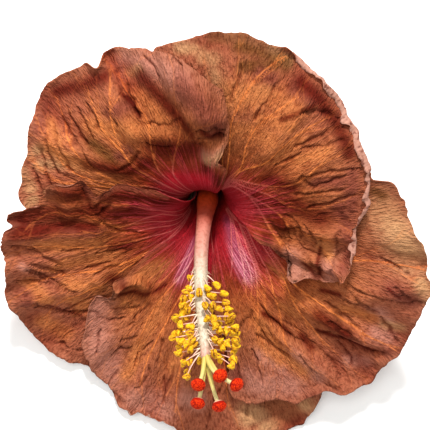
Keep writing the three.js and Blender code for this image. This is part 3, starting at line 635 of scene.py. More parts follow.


# %% [markdown]
# ## Patches of colour
# The petals are not evenly coloured. Sun and age have faded some stretches to mauve, tan or olive, and some
# mauve and tan strokes are also painted light, laid where the surface is lit. The orange strokes are painted
# highlights, laid where light falls, and the petals are flushed with rose near the eye. The dusky brown and
# maroon strokes are painted shade, where folds turn away from the light or lie in a shadow. Such patches
# could be painted on an image, but strokes in code need no file and stay sharp at any size. Each is a stroke
# of one colour: its half width in millimetres, and the places that it runs through, as degrees and length.
# The eye's edge is a line of [degrees, length].

# %% Patches of colour
# The orange tint is painted highlight, laid where light falls. The dusky brown and maroon tints are painted
# shade, laid where folds turn away from the light or lie in a shadow. Some mauve and tan strokes are painted
# light where the surface is lit.
TINTS = {
    "mauve": "#b47c6a", "tan": "#bc9068", "olive": "#6e4824", "glow": "#c27a4a", "dusk": "#864a3a",
    "rose": "#aa5066", "shade": "#5c1206", "flush": "#d42c3c",
}
PATCHES = {
    "petal_lower": dict(
        mauve=[
            (7.7, [(-44, 77), (-39, 82), (-29, 92), (-20, 98)]), (6.2, [(-12, 103), (-2, 104)]),
            (4.3, [(3, 96), (8, 98)]),
        ],
        tan=[(5.8, [(22, 106), (33, 108)]), (4.6, [(26, 114), (38, 112)])],
        glow=[
            (6, [(-42, 54), (-32, 48)]), (1.2, [(-45, 62), (-41, 59), (-36, 58.5)]),
            (4.3, [(-18, 58), (-18, 71)]), (3.8, [(1, 70), (-3, 84)]), (4.3, [(-18, 80), (-17, 94)]),
            (2.6, [(-36, 68), (-30, 68)]),
        ],
        rose=[(4.3, [(-16, 34), (-14, 46)])],
        shade=[
            (2.2, [(-48, 63), (-43, 63.5)]),
            (1.3, [(-41, 67), (-37, 62.5), (-31, 61), (-28, 59), (-23, 53)]),
        ],
    ),
    "petal_right": dict(
        mauve=[
            (4.6, [(-4, 103), (-4, 108)]), (4.3, [(0, 104), (2, 98)]), (3.4, [(-17, 103), (-14, 110)]),
            (6.2, [(-46, 90), (-38, 96), (-34, 99)]), (3.8, [(-28, 86), (-26, 100)]),
            (3.8, [(-39, 80), (-35, 90)]),
        ],
        tan=[
            (9.1, [(38, 90), (30, 96), (22, 101)]), (4.4, [(27, 103), (20, 107)]),
            (4, [(16, 108), (12, 112)]), (3, [(-1, 104), (0, 110)]),
        ],
        olive=[(2.4, [(43, 87), (41, 90)])],
        glow=[
            (4.3, [(-34, 69), (-33, 80), (-29, 94)]), (3.4, [(-2, 86), (-1, 98)]),
            (3.4, [(-6, 53), (-6, 58)]), (2.8, [(-19, 68), (-17, 72)]), (3.4, [(-37, 76), (-34, 86)]),
        ],
        dusk=[
            (4, [(-31, 107), (-25, 113)]), (3, [(-54, 84), (-49, 89)]), (3, [(-8, 113), (-4, 116)]),
            (4.8, [(12, 98), (10, 108)]),
        ],
        rose=[(5.8, [(-8, 28), (-20, 38), (-26, 46)])],
        shade=[
            (1.2, [(-16, 84), (-12, 96), (-10, 108)]), (0.7, [(12, 96), (10, 102)]),
            (1.4, [(-30, 65), (-26, 72), (-25, 78)]), (3.6, [(-10, 79), (-9, 92)]),
            (2.4, [(-22, 82), (-22, 88)]), (1.6, [(-1, 74), (2, 80)]),
        ],
    ),
    "petal_upper_right": dict(
        mauve=[
            (4.3, [(-58, 56), (-72, 64)]), (3.4, [(-52, 70), (-60, 71)]), (3, [(-67, 66), (-72, 70)]),
            (2.8, [(-60, 73), (-66, 74)]),
        ],
        tan=[
            (4.3, [(45, 84), (42, 76)]), (2.6, [(-48, 67), (-53, 69)]), (2.8, [(56, 95), (51, 94)]),
            (3.6, [(49, 91), (45, 89)]), (2.4, [(29, 97), (22, 95)]), (4, [(37, 76), (25, 81)]),
        ],
        olive=[
            (4.3, [(38, 96), (32, 96), (23, 94)]), (3.4, [(36, 88), (26, 92)]),
            (3.2, [(46, 99), (36, 99)]),
        ],
        glow=[
            (4.3, [(24, 70), (12, 74)]), (3.4, [(-2, 66), (-6, 76)]),
            (7.2, [(38, 76), (26, 80), (14, 80)]), (4.6, [(33, 62), (24, 64), (14, 65)]),
            (3.6, [(-45, 67), (-53, 69)]), (4.2, [(6, 62), (5, 70)]),
        ],
        dusk=[
            (3.8, [(-30, 73), (-42, 77)]), (3.2, [(30, 87), (25, 86)]), (3.4, [(-18, 81), (-32, 77)]),
            (2.4, [(-47, 78), (-55, 77)]), (4.3, [(17, 87), (11, 86)]), (3.4, [(-16, 67), (-20, 76)]),
        ],
        shade=[
            (3.3, [(16, 90), (8, 88), (-1, 86), (-12, 83)]), (1.4, [(16, 74), (12, 80), (9, 85)]),
            (6.4, [(-20, 49), (-28, 58), (-34, 65)]), (1.1, [(-61, 62), (-66, 68), (-72, 73)]),
            (3.8, [(-2, 50), (-14, 57)]), (4, [(-28, 47), (-41, 51)]), (2.8, [(-58, 50), (-64, 54)]),
            (2.8, [(-52, 45), (-58, 47)]), (3.8, [(-6, 42), (-18, 43), (-30, 44)]),
            (0.8, [(-51, 66), (-60, 67), (-70, 73)]),
        ],
    ),
    "petal_upper_left": dict(
        flush=[(4.6, [(-24, 39), (-4, 40), (10, 43), (20, 40)])],
        mauve=[
            (6.2, [(0, 96), (-10, 88), (-16, 82)]), (3.4, [(-22, 52), (-34, 55)]),
            (3.2, [(2, 92), (-3, 91)]),
        ],
        olive=[(3.8, [(26, 77), (26, 68)])],
        tan=[
            (2.9, [(46, 98), (51, 92)]), (2.8, [(-24, 51.5), (-33, 54)]), (3.6, [(37, 88), (37, 78)]),
            (2.8, [(54, 90), (56, 92)]), (2.8, [(38, 93), (41, 96)]), (2.2, [(1, 91), (-3, 90)]),
            (3.4, [(40, 85), (43, 91)]), (2.8, [(49, 80), (51, 84)]),
        ],
        glow=[
            (4, [(0, 80), (-5, 68)]), (5, [(36, 89), (36, 76)]), (2.2, [(30, 96), (33, 87)]),
            (4.2, [(22, 82), (13, 74), (2, 68)]),
        ],
        dusk=[
            (5.8, [(-16, 80), (-24, 72), (-30, 66)]), (3.4, [(5, 80), (12, 81)]),
            (2.8, [(17, 66), (23, 66)]), (2.9, [(33, 98), (27, 102)]),
        ],
        shade=[
            (3.4, [(-3, 88), (-6, 80), (-11, 70), (-16, 62)]), (6.5, [(4, 60), (-6, 55), (-16, 56)]),
            (2, [(-22, 64), (-32, 62)]), (3.4, [(23, 102), (14, 95), (8, 94)]),
            (1.2, [(6, 85), (4, 80), (4, 74)]), (4, [(34, 74), (27, 60), (14, 56)]),
            (4, [(-22, 46), (-36, 42)]),
        ],
    ),
    "petal_left": dict(
        mauve=[(1.6, [(2, 96), (4, 94)])],
        glow=[
            (4, [(24, 100), (32, 97)]), (3.4, [(14, 82), (24, 72)]), (4.6, [(-4, 86), (-2, 74)]),
            (2.8, [(-2, 68), (0, 66)]), (4.3, [(7, 77), (10, 62)]), (3.4, [(9, 96), (18, 92)]),
            (3.8, [(21, 84), (30, 81)]), (3, [(25, 82), (28, 86)]), (2.8, [(5, 80), (7, 84)]),
            (3.6, [(36, 68), (42, 66)]),
        ],
        dusk=[(3.8, [(-12, 98), (-9, 86)]), (3.4, [(-10, 78), (-8, 64)]), (3.4, [(12, 99), (16, 99)])],
        shade=[
            (9.5, [(-40, 44), (-36, 58), (-30, 70), (-26, 76)]),
            (6.5, [(-11, 98), (-14, 90), (-16, 80), (-18, 68), (-20, 50)]),
            (4, [(-9, 97), (-10, 86), (-12, 74)]), (3, [(-30, 52), (-18, 52)]),
            (3, [(-17, 88), (-14, 94)]), (3.6, [(4, 59), (8, 54)]), (3.4, [(-11, 66), (-11, 72)]),
            (3.2, [(22, 66), (28, 64)]), (0.8, [(19, 94), (24, 90), (30, 86)]),
            (3.6, [(-12, 98), (-9, 92)]),
        ],
    ),
}
EYES = {
    "petal_lower": [[-42, 42], [-28, 44], [-4, 48], [40, 50]],
    "petal_right": [[-46, 42], [-30, 46], [0, 50], [30, 46]],
    "petal_upper_right": [[-60, 36], [-35, 40], [-20, 44], [0, 43], [20, 38], [50, 36]],
    "petal_upper_left": [[-40, 39], [-30, 41], [-18, 43], [0, 46], [14, 47], [24, 46], [50, 41]],
    "petal_left": [[-46, 40], [-30, 47], [-6, 46], [11, 43], [50, 44]],
}
print("strokes:", {name: sum(map(len, tints.values())) for name, tints in PATCHES.items()})


def patch_share(patches, turn, length):
    """How much of a colour each place has, from its patches."""
    x, y = spread(turn, length)
    shares = [np.exp(-((gap_to(line, x, y) / width) ** 2)) for width, line in patches]
    return np.max([np.zeros(x.shape), *shares], axis=0)


# %% [markdown]
# ## Veins
# A petal's main veins leave the throat close together, fan out, and fork into finer ones. Drawing them
# into the mesh's points would need a very dense mesh. Instead each point gets two numbers, how far it is
# from the nearest vein, in widths and with a sign for the side, and how strong that vein is. Between
# points the distance runs straight through zero, so the material can draw a fine, even line from it.
# The main veins are lines of (degrees, length). The finer ones grow from them by seeded draws.

# %% Veins
VEINS = {
    "petal_upper_left": [
        [(11, 20), (14, 44), (14, 50), (8, 60), (2, 69), (2, 76), (4, 84), (4, 93)],
        [(6, 20), (8, 44), (2, 50), (-5, 56), (-10, 62), (-12, 66)],
        [(17, 20), (21, 44), (23, 56), (20, 68), (19, 78), (16, 87), (14, 94)],
        [(18, 20), (23, 56), (20, 66), (14, 78), (9, 86), (5, 97)],
        [(23, 20), (29, 46), (36, 56), (36, 66), (34, 74), (32, 81), (30, 87), (27, 92), (24, 100)],
        [(29, 20), (36, 53), (40, 66), (40, 80), (36, 88), (32, 94)],
        [(32, 20), (40, 58), (46, 81), (45, 88), (42, 96)],
    ],
    "petal_upper_right": [
        [(22, 20), (28, 39), (32, 50), (36, 64), (34, 74), (31, 84), (28, 90), (24, 96)],
        [(19, 20), (24, 39), (20, 47), (24, 56), (24, 66), (20, 74), (15, 84)],
        [(16, 20), (20, 42), (16, 48), (10, 54), (9, 64), (6, 76), (1, 87)],
        [(18, 20), (22, 39), (1, 45), (-10, 53), (-12, 62), (-9, 70), (-10, 80)],
        [(16, 20), (20, 38), (0, 42), (-14, 48), (-26, 54), (-30, 66)],
        [(14, 20), (18, 36), (-7, 40), (-31, 49), (-42, 56), (-46, 67)],
        [(11, 20), (14, 36), (-40, 44), (-54, 51)],
        [(26, 20), (32, 40), (37, 50), (38, 58), (40, 68)],
    ],
    "petal_right": [
        [(5, 20), (6, 24), (-20, 34), (-31, 40), (-40, 46)],
        [(8, 20), (10, 25), (-15, 37), (-26, 46), (-35, 56)],
        [(11, 20), (14, 28), (-7, 39), (-17, 48), (-28, 58), (-38, 73)],
        [(16, 20), (20, 30), (-2, 42), (-11, 52), (-20, 64), (-27, 76), (-28, 84)],
        [(18, 20), (22, 32), (3, 45), (-6, 56), (-14, 71), (-18, 90)],
        [(18, 20), (22, 35), (4, 48), (-6, 62), (-6, 74), (-6, 90), (-6, 114)],
        [(10, 20), (12, 55), (14, 71), (18, 84), (19, 96), (19, 108)],
        [(10, 20), (12, 29), (-7, 42), (-20, 54), (-28, 65)],
        [(3, 20), (4, 27), (-15, 40), (-24, 50), (-33, 58)],
    ],
    "petal_left": [
        [(1, 20), (1, 26), (-18, 38), (-15, 44), (-8, 54), (-12, 62), (-16, 70), (-16, 82), (-10, 92)],
        [(9, 20), (11, 30), (0, 40), (-2, 51), (-6, 60), (-9, 70)],
        [(14, 20), (17, 32), (9, 42), (5, 55), (2, 66), (-2, 79), (-4, 92)],
        [(20, 20), (25, 34), (21, 40), (20, 52), (16, 66), (11, 82), (10, 96)],
        [(3, 20), (4, 28), (-9, 42), (-8, 52), (-8, 58)],
        [(-14, 20), (-18, 32), (-26, 42), (-26, 50), (-26, 60)],
        [(18, 20), (22, 42), (22, 57), (22, 71), (20, 86), (23, 98)],
    ],
    "petal_lower": [
        [(-6, 20), (-8, 35), (-12, 42), (-18, 52), (-21, 62), (-20, 78)],
        [(-4, 20), (-5, 37), (-6, 46), (-10, 57), (-12, 68), (-13, 82), (-12, 96)],
        [(-11, 20), (-14, 36), (-22, 42), (-26, 50), (-28, 59)],
        [(-1, 20), (-1, 40), (2, 56), (0, 72), (0, 89), (1, 103)],
        [(14, 20), (18, 40), (16, 55), (17, 72), (17, 89), (17, 101)],
    ],
}
VEIN_WIDTH = 0.74  # millimetres, of a main vein half way up
TRUNK_PIECES = 19
FORKS_FROM = 46
TWIG_PIECE = 5  # millimetres
WIDEST_SIDE = 4  # widths from a vein, past which the distance is no longer told
VEIN_ENDS, VEIN_FADES = 3.2, 1.2  # widths from a vein


def forked(trunks, seed):
    """Vein lines as (x0, y0, x1, y1, width, strength): each trunk, and finer ones that fork from it."""
    draw = np.random.default_rng(seed)
    lines = []

    def grow(x, y, heading, length, width, strength, order):
        steps = max(2, int(length / TWIG_PIECE))
        bend = draw.uniform(-0.16, 0.16)
        for i in range(steps):
            heading += bend / steps + draw.uniform(-0.05, 0.05)
            nx, ny = x + math.sin(heading) * length / steps, y + math.cos(heading) * length / steps
            fade = 1 - 0.75 * i / steps
            lines.append((x, y, nx, ny, width * (0.6 + 0.4 * fade), strength * fade))
            if order < 2 and i % 2 == 1:
                turned = heading + draw.choice([-1, 1]) * draw.uniform(0.35, 0.6)
                shorter = length * draw.uniform(0.35, 0.5)
                grow(nx, ny, turned, shorter, width * 0.7, strength * 0.6, order + 1)
            x, y = nx, ny

    for trunk in trunks:
        turns, lengths = np.array(trunk, float).T
        fine = np.linspace(lengths[0], lengths[-1], TRUNK_PIECES + 1)
        xs, ys = spread(curve_at(np.stack([lengths, turns], 1), fine), fine)
        for i in range(TRUNK_PIECES):
            late = i / TRUNK_PIECES
            lines.append((xs[i], ys[i], xs[i + 1], ys[i + 1], 1.1 - 0.4 * late, 1 - 0.6 * late**3))
            if fine[i] > FORKS_FROM and i % 3 == 0:
                heading = math.atan2(xs[i + 1] - xs[i], ys[i + 1] - ys[i])
                heading += (-1) ** i * draw.uniform(0.28, 0.5)
                grow(xs[i], ys[i], heading, draw.uniform(16, 34), 0.6, 0.35, 0)
    return lines


def vein_field(lines, turn, length):
    """The signed gap to the nearest vein, in its widths, and its strength."""
    x, y = spread(turn, length)
    best, signed = np.full(x.shape, np.inf), np.full(x.shape, float(WIDEST_SIDE))
    strength = np.zeros(x.shape)
    for x0, y0, x1, y1, width, power in lines:
        away, side = near_line(x, y, x0, y0, x1, y1)
        gap = away / (VEIN_WIDTH * width)
        nearer = gap < best
        best = np.where(nearer, gap, best)
        signed = np.where(nearer, side * np.minimum(gap, WIDEST_SIDE), signed)
        strength = np.where(nearer, power, strength)
    return signed, strength * smooth((VEIN_ENDS - best) / VEIN_FADES)


# %% [markdown]
# ## The petals' relief
# A petal is crinkled like crepe paper. Pleats and finer wrinkles fan out with the veins, so their noise is
# read round the throat and outward rather than in squares, and the rim waves. Fine wrinkles could be left
# to a bump in the material, but their shadows and the frayed outline need real shape.

# %% Wrinkles and waves
WAVERS = ((0.06, 3, 4), (0.012, 12, 16))  # how far wrinkles waver, in radians, and in what cells
BROAD, PLEATS, FINE = (8, 3), (40, 6), (70, 12)  # cells of noise round and outward
BROAD_HEIGHT, PLEAT_DEPTH, FINE_DEPTH, CRUMPLE_HEIGHT = 0.4, 0.45, 0.3, 0.3
CRUMPLE_CELL = (2.8, 2.2)  # millimetres
# A pleat's floor is painted darker, as painted shade.
PLEAT_FLOOR, PLEAT_SHADE = 0.1, 0.24  # how narrow a pleat's dark floor is, and how dark
RUFFLE_SHARES = (0.65, 0.35)
HALF_RIM = 60  # millimetres of rim on each side of a petal's middle line
UNEVEN_RUFFLES = 1.3


def wrinkles(turn, length, seed):
    """Fine folds that fan out with the veins: their height, and how much painted shade each place gets on a
    pleat's floor.
    """
    around, outward = np.radians(turn), np.log(length / 10)
    bent = around
    for i, (far, cells_round, cells_outward) in enumerate(WAVERS):
        bent = bent + far * noise(around * cells_round, outward * cells_outward, seed + i)
    broad = noise(bent * BROAD[0], outward * BROAD[1], seed + 2)
    pleats = np.abs(noise(bent * PLEATS[0], outward * PLEATS[1], seed + 3))
    fine = np.abs(noise(bent * FINE[0], outward * FINE[1], seed + 4))
    x, y = spread(turn, length)
    crumple = np.abs(noise(x / CRUMPLE_CELL[0] + 3 * bent, y / CRUMPLE_CELL[1], seed + 5))
    height = BROAD_HEIGHT * broad - PLEAT_DEPTH * pleats - FINE_DEPTH * fine + CRUMPLE_HEIGHT * crumple
    return height, PLEAT_SHADE * np.exp(-((pleats / PLEAT_FLOOR) ** 2))


def rim_noise(across, cells, seed):
    """Noise along a petal's rim, in so many cells from its middle line to an edge."""
    return noise(across * cells, 0.5, seed)


def ruffles(shape, across, length, reach, seed):
    """The waves of the outer part of a petal."""
    high, waves, starts = shape["ruffle"]
    even = sum(
        share * np.sin(2 * np.pi * (HALF_RIM * across - start) / wave)
        for share, wave, start in zip(RUFFLE_SHARES, waves, starts)
    )
    return (high * even + UNEVEN_RUFFLES * rim_noise(across, 9, seed + 9)) * (length / reach) ** 3


# %% [markdown]
# ## The petals' rims
# The rims are frayed, and here and there rolled forward. Where a rim is rolled right over, it bends in half
# of its band and the rest lies back over the petal as a flap with a ragged end. A roll is worked out as
# an arc: the places past the bend's start go round it by as much as they lie beyond, and the flap goes
# straight on from the arc's end.

# %% Frayed and rolled rims
ROLLED_OVER_FROM, ROLLED_OVER_BY = 120, 60  # degrees of curl
LEAST_ROLL, FURTHEST_ROLL = 0.05, math.radians(205)
FRAYED = ((0.5, 16, 7), (0.45, 42, 8))  # millimetres, cells and seed
RAGGED, RAGGED_SLOW, RAGGED_QUICK = 0.8, 2.4, 1.4  # millimetres


def rim_at(shape, across, seed):
    """Where the rim is, where the petal's end is past it or short of it, and how far it is rolled over."""
    rolled_over = smooth((curve_at(shape["curl"], across) - ROLLED_OVER_FROM) / ROLLED_OVER_BY)
    frayed = sum(far * rim_noise(across, cells, seed + number) for far, cells, number in FRAYED)
    outer = curve_at(shape["rim"], across) + frayed
    slow, quick = rim_noise(across, 16, seed + 13), rim_noise(across, 60, seed + 14)
    ragged = RAGGED - RAGGED_SLOW * np.abs(slow) - RAGGED_QUICK * np.abs(quick)
    return outer, outer + ragged * rolled_over, rolled_over


def roll_rim(shape, across, length, lift, outer, rolled_over, seed):
    """The length and the lift of places once the rim is rolled forward."""
    uneven = 0.85 + 0.3 * rim_noise(across, 14, seed + 10) + 0.2 * rim_noise(across, 50, seed + 12)
    roll = np.clip(np.radians(curve_at(shape["curl"], across)) * uneven, LEAST_ROLL, FURTHEST_ROLL)
    band = shape["band"] * (1 + 0.25 * rim_noise(across, 30, seed + 11))
    bent = band * (1 - 0.5 * rolled_over)
    radius = bent / roll
    beyond = np.maximum(length - outer + band, 0)
    angle = np.minimum(beyond, bent) / radius
    flap = np.maximum(beyond - bent, 0)
    along = np.minimum(length, outer - band) + radius * np.sin(angle) + flap * np.cos(angle)
    return along, lift + radius * (1 - np.cos(angle)) + flap * np.sin(angle)


# %% [markdown]
# ## The petals' meshes
# A petal is a sheet a third of a millimetre thick. It starts as a flat grid whose points are moved: out
# along the petal and across it, then lifted by the folds, the waves, the creases, the wrinkles and the
# veins, and at last the rim is rolled. Each point also keeps what the material needs to know about it, such
# as how near a crease's floor it lies, where shade is painted. Solidify gives the sheet its thickness, with
# a second material for the paler back.

# %% One petal
ALONG, ACROSS = 132, 268  # faces up a petal and across it
PETAL_THICKNESS = 0.34
CLOSER_ACROSS, CLOSER_UP = 0.4, 0.22  # how much closer faces stand at both edges, and at the rim
FLAT_UNTIL, RELIEF_OVER = 24, 30  # lengths up a petal
CRINKLED_FROM, CRINKLED_OVER = 34, 22
COVERED_SHARE = 0.15  # of a fold, where a neighbour lies over it or under it
LESS_CRINKLED = 0.6  # by this share in such places
# A place whose lift is below the first of these is painted in a red shade, full at so many millimetres
# lower.
HOLLOW_BELOW, HOLLOW_OVER = 0.4, 3
VEIN_HEIGHT = 0.2
NO_RIM_BELOW = 40  # the edges aren't paler down in the throat


def petal_places(name, up, even):
    """A petal's places and marks, for rows from 0 at its base to 1 and columns from -1 to 1."""
    shape = PETALS[name]
    seed = 100 * (ORDER.index(name) + 1)
    across = mixed(even, np.sin(np.pi / 2 * even), CLOSER_ACROSS)
    outer, reach, rolled_over = rim_at(shape, across, seed)
    shortest = min(shape["rim"][0][1], shape["rim"][-1][1])
    rows = up * (1 + CLOSER_UP - CLOSER_UP * up)
    length = shortest * rows + (reach - shortest) * rows**2
    edge = edge_at(shape, across, length)
    turn = across * edge
    azimuth = shape["middle"] + turn

    crinkled = smooth((length - CRINKLED_FROM) / CRINKLED_OVER)
    lift = ruffles(shape, across, length, reach, seed) + ridges(shape["folds"], turn, length)
    lift = lift * smooth((length - FLAT_UNTIL) / RELIEF_OVER)
    sunk, furrow_shade = furrows(shape["creases"], turn, length)
    grain, pleat_floor_shade = wrinkles(turn, np.maximum(length, 1), seed)
    covered = np.where(lift > 0, cover_by(name, 1, azimuth, length), cover_by(name, -1, azimuth, length))
    lift = lift * (1 - (1 - COVERED_SHARE) * covered)
    lift = lift + (grain + sunk) * crinkled * (1 - LESS_CRINKLED * covered)
    hollow = smooth((HOLLOW_BELOW - lift) / HOLLOW_OVER) * crinkled
    side, strength = vein_field(forked(VEINS[name], seed), turn, length)
    lift = lift + VEIN_HEIGHT * np.exp(-(side**2)) * strength * crinkled
    layer = -LAYER_STEP * smooth(length / LAYER_FULL_AT) * turn / PITCH
    along, lift = roll_rim(shape, across, length, lift, outer, rolled_over, seed)

    edge_gap = (1 - np.abs(across)) * edge * ARC * length * np.pi / 180
    # Among these tints are painted highlights and painted shade.
    marks = {tint: patch_share(PATCHES[name].get(tint, []), turn, length) for tint in TINTS}
    marks |= {"turn": turn, "along": length, "eye": length / curve_at(EYES[name], turn)}
    # The hollow and crease marks say where shade is painted.
    marks |= {"vein_side": side, "vein": strength, "hollow": hollow}
    marks["crease"] = np.maximum(pleat_floor_shade, furrow_shade) * crinkled
    marks["rim"] = np.minimum(outer - length, edge_gap + NO_RIM_BELOW * (length < NO_RIM_BELOW))
    return surface_at(along, azimuth, layer + lift), marks


def petal(name):
    """A petal's sheet, with no thickness yet."""
    piece = primitive(f"{name}_blade", "grid", x_subdivisions=ALONG, y_subdivisions=ACROSS, size=2)
    flat = places_of(piece)
    places, marks = petal_places(name, (flat[:, 0] + 1) / 2, flat[:, 1])
    move_to(piece, laid(places))
    for mark, values in marks.items():
        give(piece, mark, values)
    return piece


# %% [markdown]
# ## The petals' finish
# Out from the throat, a petal goes from deep red through crimson to orange brown, and near the throat the
# reds are painted lighter than their own colour, as painted light where the throat is shaded. Fine rays of a
# paler red run out of the eye, and coral veins go on from them to the rim. The patches of colour are laid
# over that, their edges broken by noise; among them are painted highlights and painted shade, and the
# creases and hollows are painted darker as shade. The face isn't glossy, and a fine grain covers it. The
# back is paler, with light lines for its veins, and duller and flecked where a rim rolls forward and shows
# it. A picture of a petal could be laid on instead, but it would need a file, and would blur close to.

# %% The petals' materials
def fibres(wire, across, along, detail, start=0.0):
    """Noise drawn out along a petal, at so many lumps a degree across and a millimetre along."""
    stretched = {"X": wire.attribute("turn") * across, "Y": wire.attribute("along") * along, "Z": start}
    return wire.speckle(wire.node("CombineXYZ", None, stretched), 1.0, detail)


def petal_face():
    material, wire = finish("petal_face_orange_brown")
    where = wire.places()
    grain, mottle = wire.speckle(where, 1300.0, 2.0), wire.speckle(where, 320.0, 3.0)
    patch = wire.speckle(where, 70.0, 3.0)
    fibre, ray = fibres(wire, 1.7, 0.4, 5.0), fibres(wire, 0.8, 0.015, 2.0, 7.0)
    streak = fibre * 0.7 + mottle * 0.3
    eye, vein, crease = wire.attribute("eye"), wire.attribute("vein"), wire.attribute("crease")

    # From the throat to the rim; the eye's edge is in the middle of the ramp. Near the throat the reds are
    # painted lighter than their own colour, as painted light where the throat is shaded.
    far = (eye + (ray - 0.5) * 0.46 + (fibre - 0.5) * 0.16) * 0.5
    colour = far.colours(
        (0.0, "#8c1a12"), (0.14, "#b42018"), (0.26, "#c42a30"), (0.36, "#be2c38"), (0.46, "#a83032"),
        (0.54, "#9c4428"), (0.70, "#aa643c"), (0.86, "#aa6846"), (1.0, "#a46248"),
    )
    # The patches, broken up by noise, among them painted highlights and painted shade, and the worn rim.
    for tint, shade in TINTS.items():
        share = (wire.attribute(tint) + (patch - 0.5) * 0.3 + (streak - 0.5) * 0.5).ramp(0.0, 1.15)
        colour = colour.painted(shade, share * 0.9)
    colour = colour.painted("#a06c54", wire.attribute("rim").ramp(5, 1) * 0.3)
    # Pale rays across the eye's edge, rosier where a rose patch lies.
    rosy = wire.attribute("rose").ramp(0.05, 0.7) * eye.ramp(1.6, 1.1)
    glow = ray.ramp(0.5, 0.66) * eye.ramp(0.55, 0.95) * eye.ramp(1.45, 1.0)
    colour = colour.painted("#dc5460", glow * 0.6)
    colour = colour.painted("#ec9cac", glow * rosy * 0.8)
    # The veins: coral outside the eye, pink inside it.
    line = abs(wire.attribute("vein_side")).ramp(1.0, 0.1) * vein
    # Veins fade under the painted shade.
    line = line * (1 - wire.attribute("shade") * 0.7)
    inside = eye.ramp(1.25, 0.95)
    colour = colour.painted("#ee9050", line * 0.92 * (1 - inside))
    colour = colour.painted("#e87c74", line * 0.7 * inside)
    colour = colour.painted("#f4b8b8", line * rosy * eye.ramp(0.7, 1.0) * 0.75)
    # Darker streaks, except on faded patches, and painted shade on creases and in hollows.
    plain = (wire.attribute("tan") + wire.attribute("mauve")).ramp(1.6, 0.2)
    colour = colour.times("#8a4428", (1 - streak).ramp(0.42, 0.7) * eye.ramp(0.7, 1.3) * plain * 0.6)
    colour = colour.times("#6c2410", crease * 0.4)
    colour = colour.times("#b45030", wire.attribute("hollow") * 0.6)
    return coat(material, colour, 0.6, fibre * 1.2 + grain * 0.3, 0.0014, specular_ior_level=0.08)


def petal_back():
    material, wire = finish("petal_back_pale")
    where = wire.places()
    mottle, fleck = wire.speckle(where, 90.0, 3.0), wire.speckle(where, 620.0, 3.0)
    fibre = fibres(wire, 1.8, 0.14, 4.0)
    far = (wire.attribute("along") + (mottle - 0.5) * 12) * (1 / 120)
    colour = far.colours(
        (0.0, "#7c4a34"), (0.2, "#8c3c34"), (0.4, "#b0705a"), (0.75, "#c08a70"), (0.9, "#cf9f86")
    )
    line = abs(wire.attribute("vein_side")).ramp(1.6, 0.3) * wire.attribute("vein")
    colour = colour.painted("#e2a888", line * 0.7)
    rolled = wire.attribute("rim").ramp(7, 4)
    colour = colour.painted("#ae8070", rolled * 0.85)
    colour = colour.times("#8c5c48", fleck.ramp(0.5, 0.68) * rolled * 0.8)
    colour = colour.times("#80604c", (1 - fibre).ramp(0.35, 0.65) * (0.7 - rolled * 0.45))
    return coat(material, colour, 0.66, fibre, 0.0002, sheen_weight=0.04, specular_ior_level=0.25)


# %% The five petals
PETAL_MATERIALS = petal_face(), petal_back()
thick = PETAL_THICKNESS * MM
for name in ORDER:
    piece = petal(name)
    for material in PETAL_MATERIALS:
        piece.data.materials.append(material)
    modify(piece, "SOLIDIFY", thickness=thick, offset=0, material_offset=1, material_offset_rim=0)
    hand_over(piece, "petals", [name])

# %% [markdown]
# ## The column's line
# The stamens of a hibiscus are grown together into one tube, the column, with the style running up inside
# it. It follows the throat's axis and then droops over the lower petal. A Bezier curve could follow it, but
# stamens and hairs have to be placed round it. So its line is a walk of small steps, and at any place
# along it there are three directions: ahead, to the right, and to the front, which is the side that faces
# the viewer.

# %% The column's line
COLUMN_LENGTH, COLUMN_FOOT = 96, -0.9
COLUMN_DROOP, DROOP_FROM = 40, 14  # degrees, and the length that they start at
COLUMN_SWING, SWINGS = 4.5, 1.6  # degrees to the side, and half waves along the column
COLUMN_WALK = 200
LINE_LENGTH = COLUMN_LENGTH + 4  # the line goes on past the column's tip, for the stigmas
COLUMN_OUTSIDE = [
    [0, 3.4], [6, 3.6], [14, 4.2], [19, 4.4], [24, 3.9], [30, 3.35], [38, 2.95], [45, 2.75], [65, 2.6],
    [82, 2.2], [96, 1.75],
]


def unit(vectors):
    vectors = np.asarray(vectors, float)
    return vectors / np.linalg.norm(vectors, axis=-1, keepdims=True)


walked = (np.arange(COLUMN_WALK) + 0.5) * LINE_LENGTH / COLUMN_WALK
droop = np.radians(COLUMN_DROOP * smooth((walked - DROOP_FROM) / (COLUMN_LENGTH - DROOP_FROM)))
swing = np.radians(-COLUMN_SWING * np.sin(np.pi * SWINGS * walked / COLUMN_LENGTH))
STEPS = unit(np.stack([np.sin(swing), -np.sin(droop), np.cos(droop)], 1)) * LINE_LENGTH / COLUMN_WALK
LINE = np.vstack([[0, 0, COLUMN_FOOT], [0, 0, COLUMN_FOOT] + np.cumsum(STEPS, 0)])
print("the column's line ends at", np.round(LINE[-1], 1))


def column_frame(along):
    """Places on the column's line, and the directions ahead, right and front there."""
    along = np.atleast_1d(np.asarray(along, float))
    t = np.clip(along / LINE_LENGTH, 0, 1) * COLUMN_WALK
    i = np.minimum(t.astype(int), COLUMN_WALK - 1)
    place = LINE[i] + (LINE[i + 1] - LINE[i]) * (t - i)[:, None]
    ahead = unit(LINE[np.minimum(i + 3, COLUMN_WALK)] - LINE[np.maximum(i - 2, 0)])
    place = place + ahead * np.maximum(along - LINE_LENGTH, 0)[:, None]
    right = unit(np.array([1.0, 0, 0]) - ahead * ahead[:, :1])
    return place, ahead, right, np.cross(ahead, right)


def column_at(along):
    """The same for one place."""
    return [rows[0] for rows in column_frame(along)]


# %% [markdown]
# ## Tubes
# The column, the filaments, the style's branches and the stalk are all tubes that change in width. A curve
# with a round bevel makes a tube too, but the column is lumpy and the calyx scalloped. A flat grid makes
# any of them: its rows become rings, and its two long sides meet and are merged. A ring of no width closes
# an end.

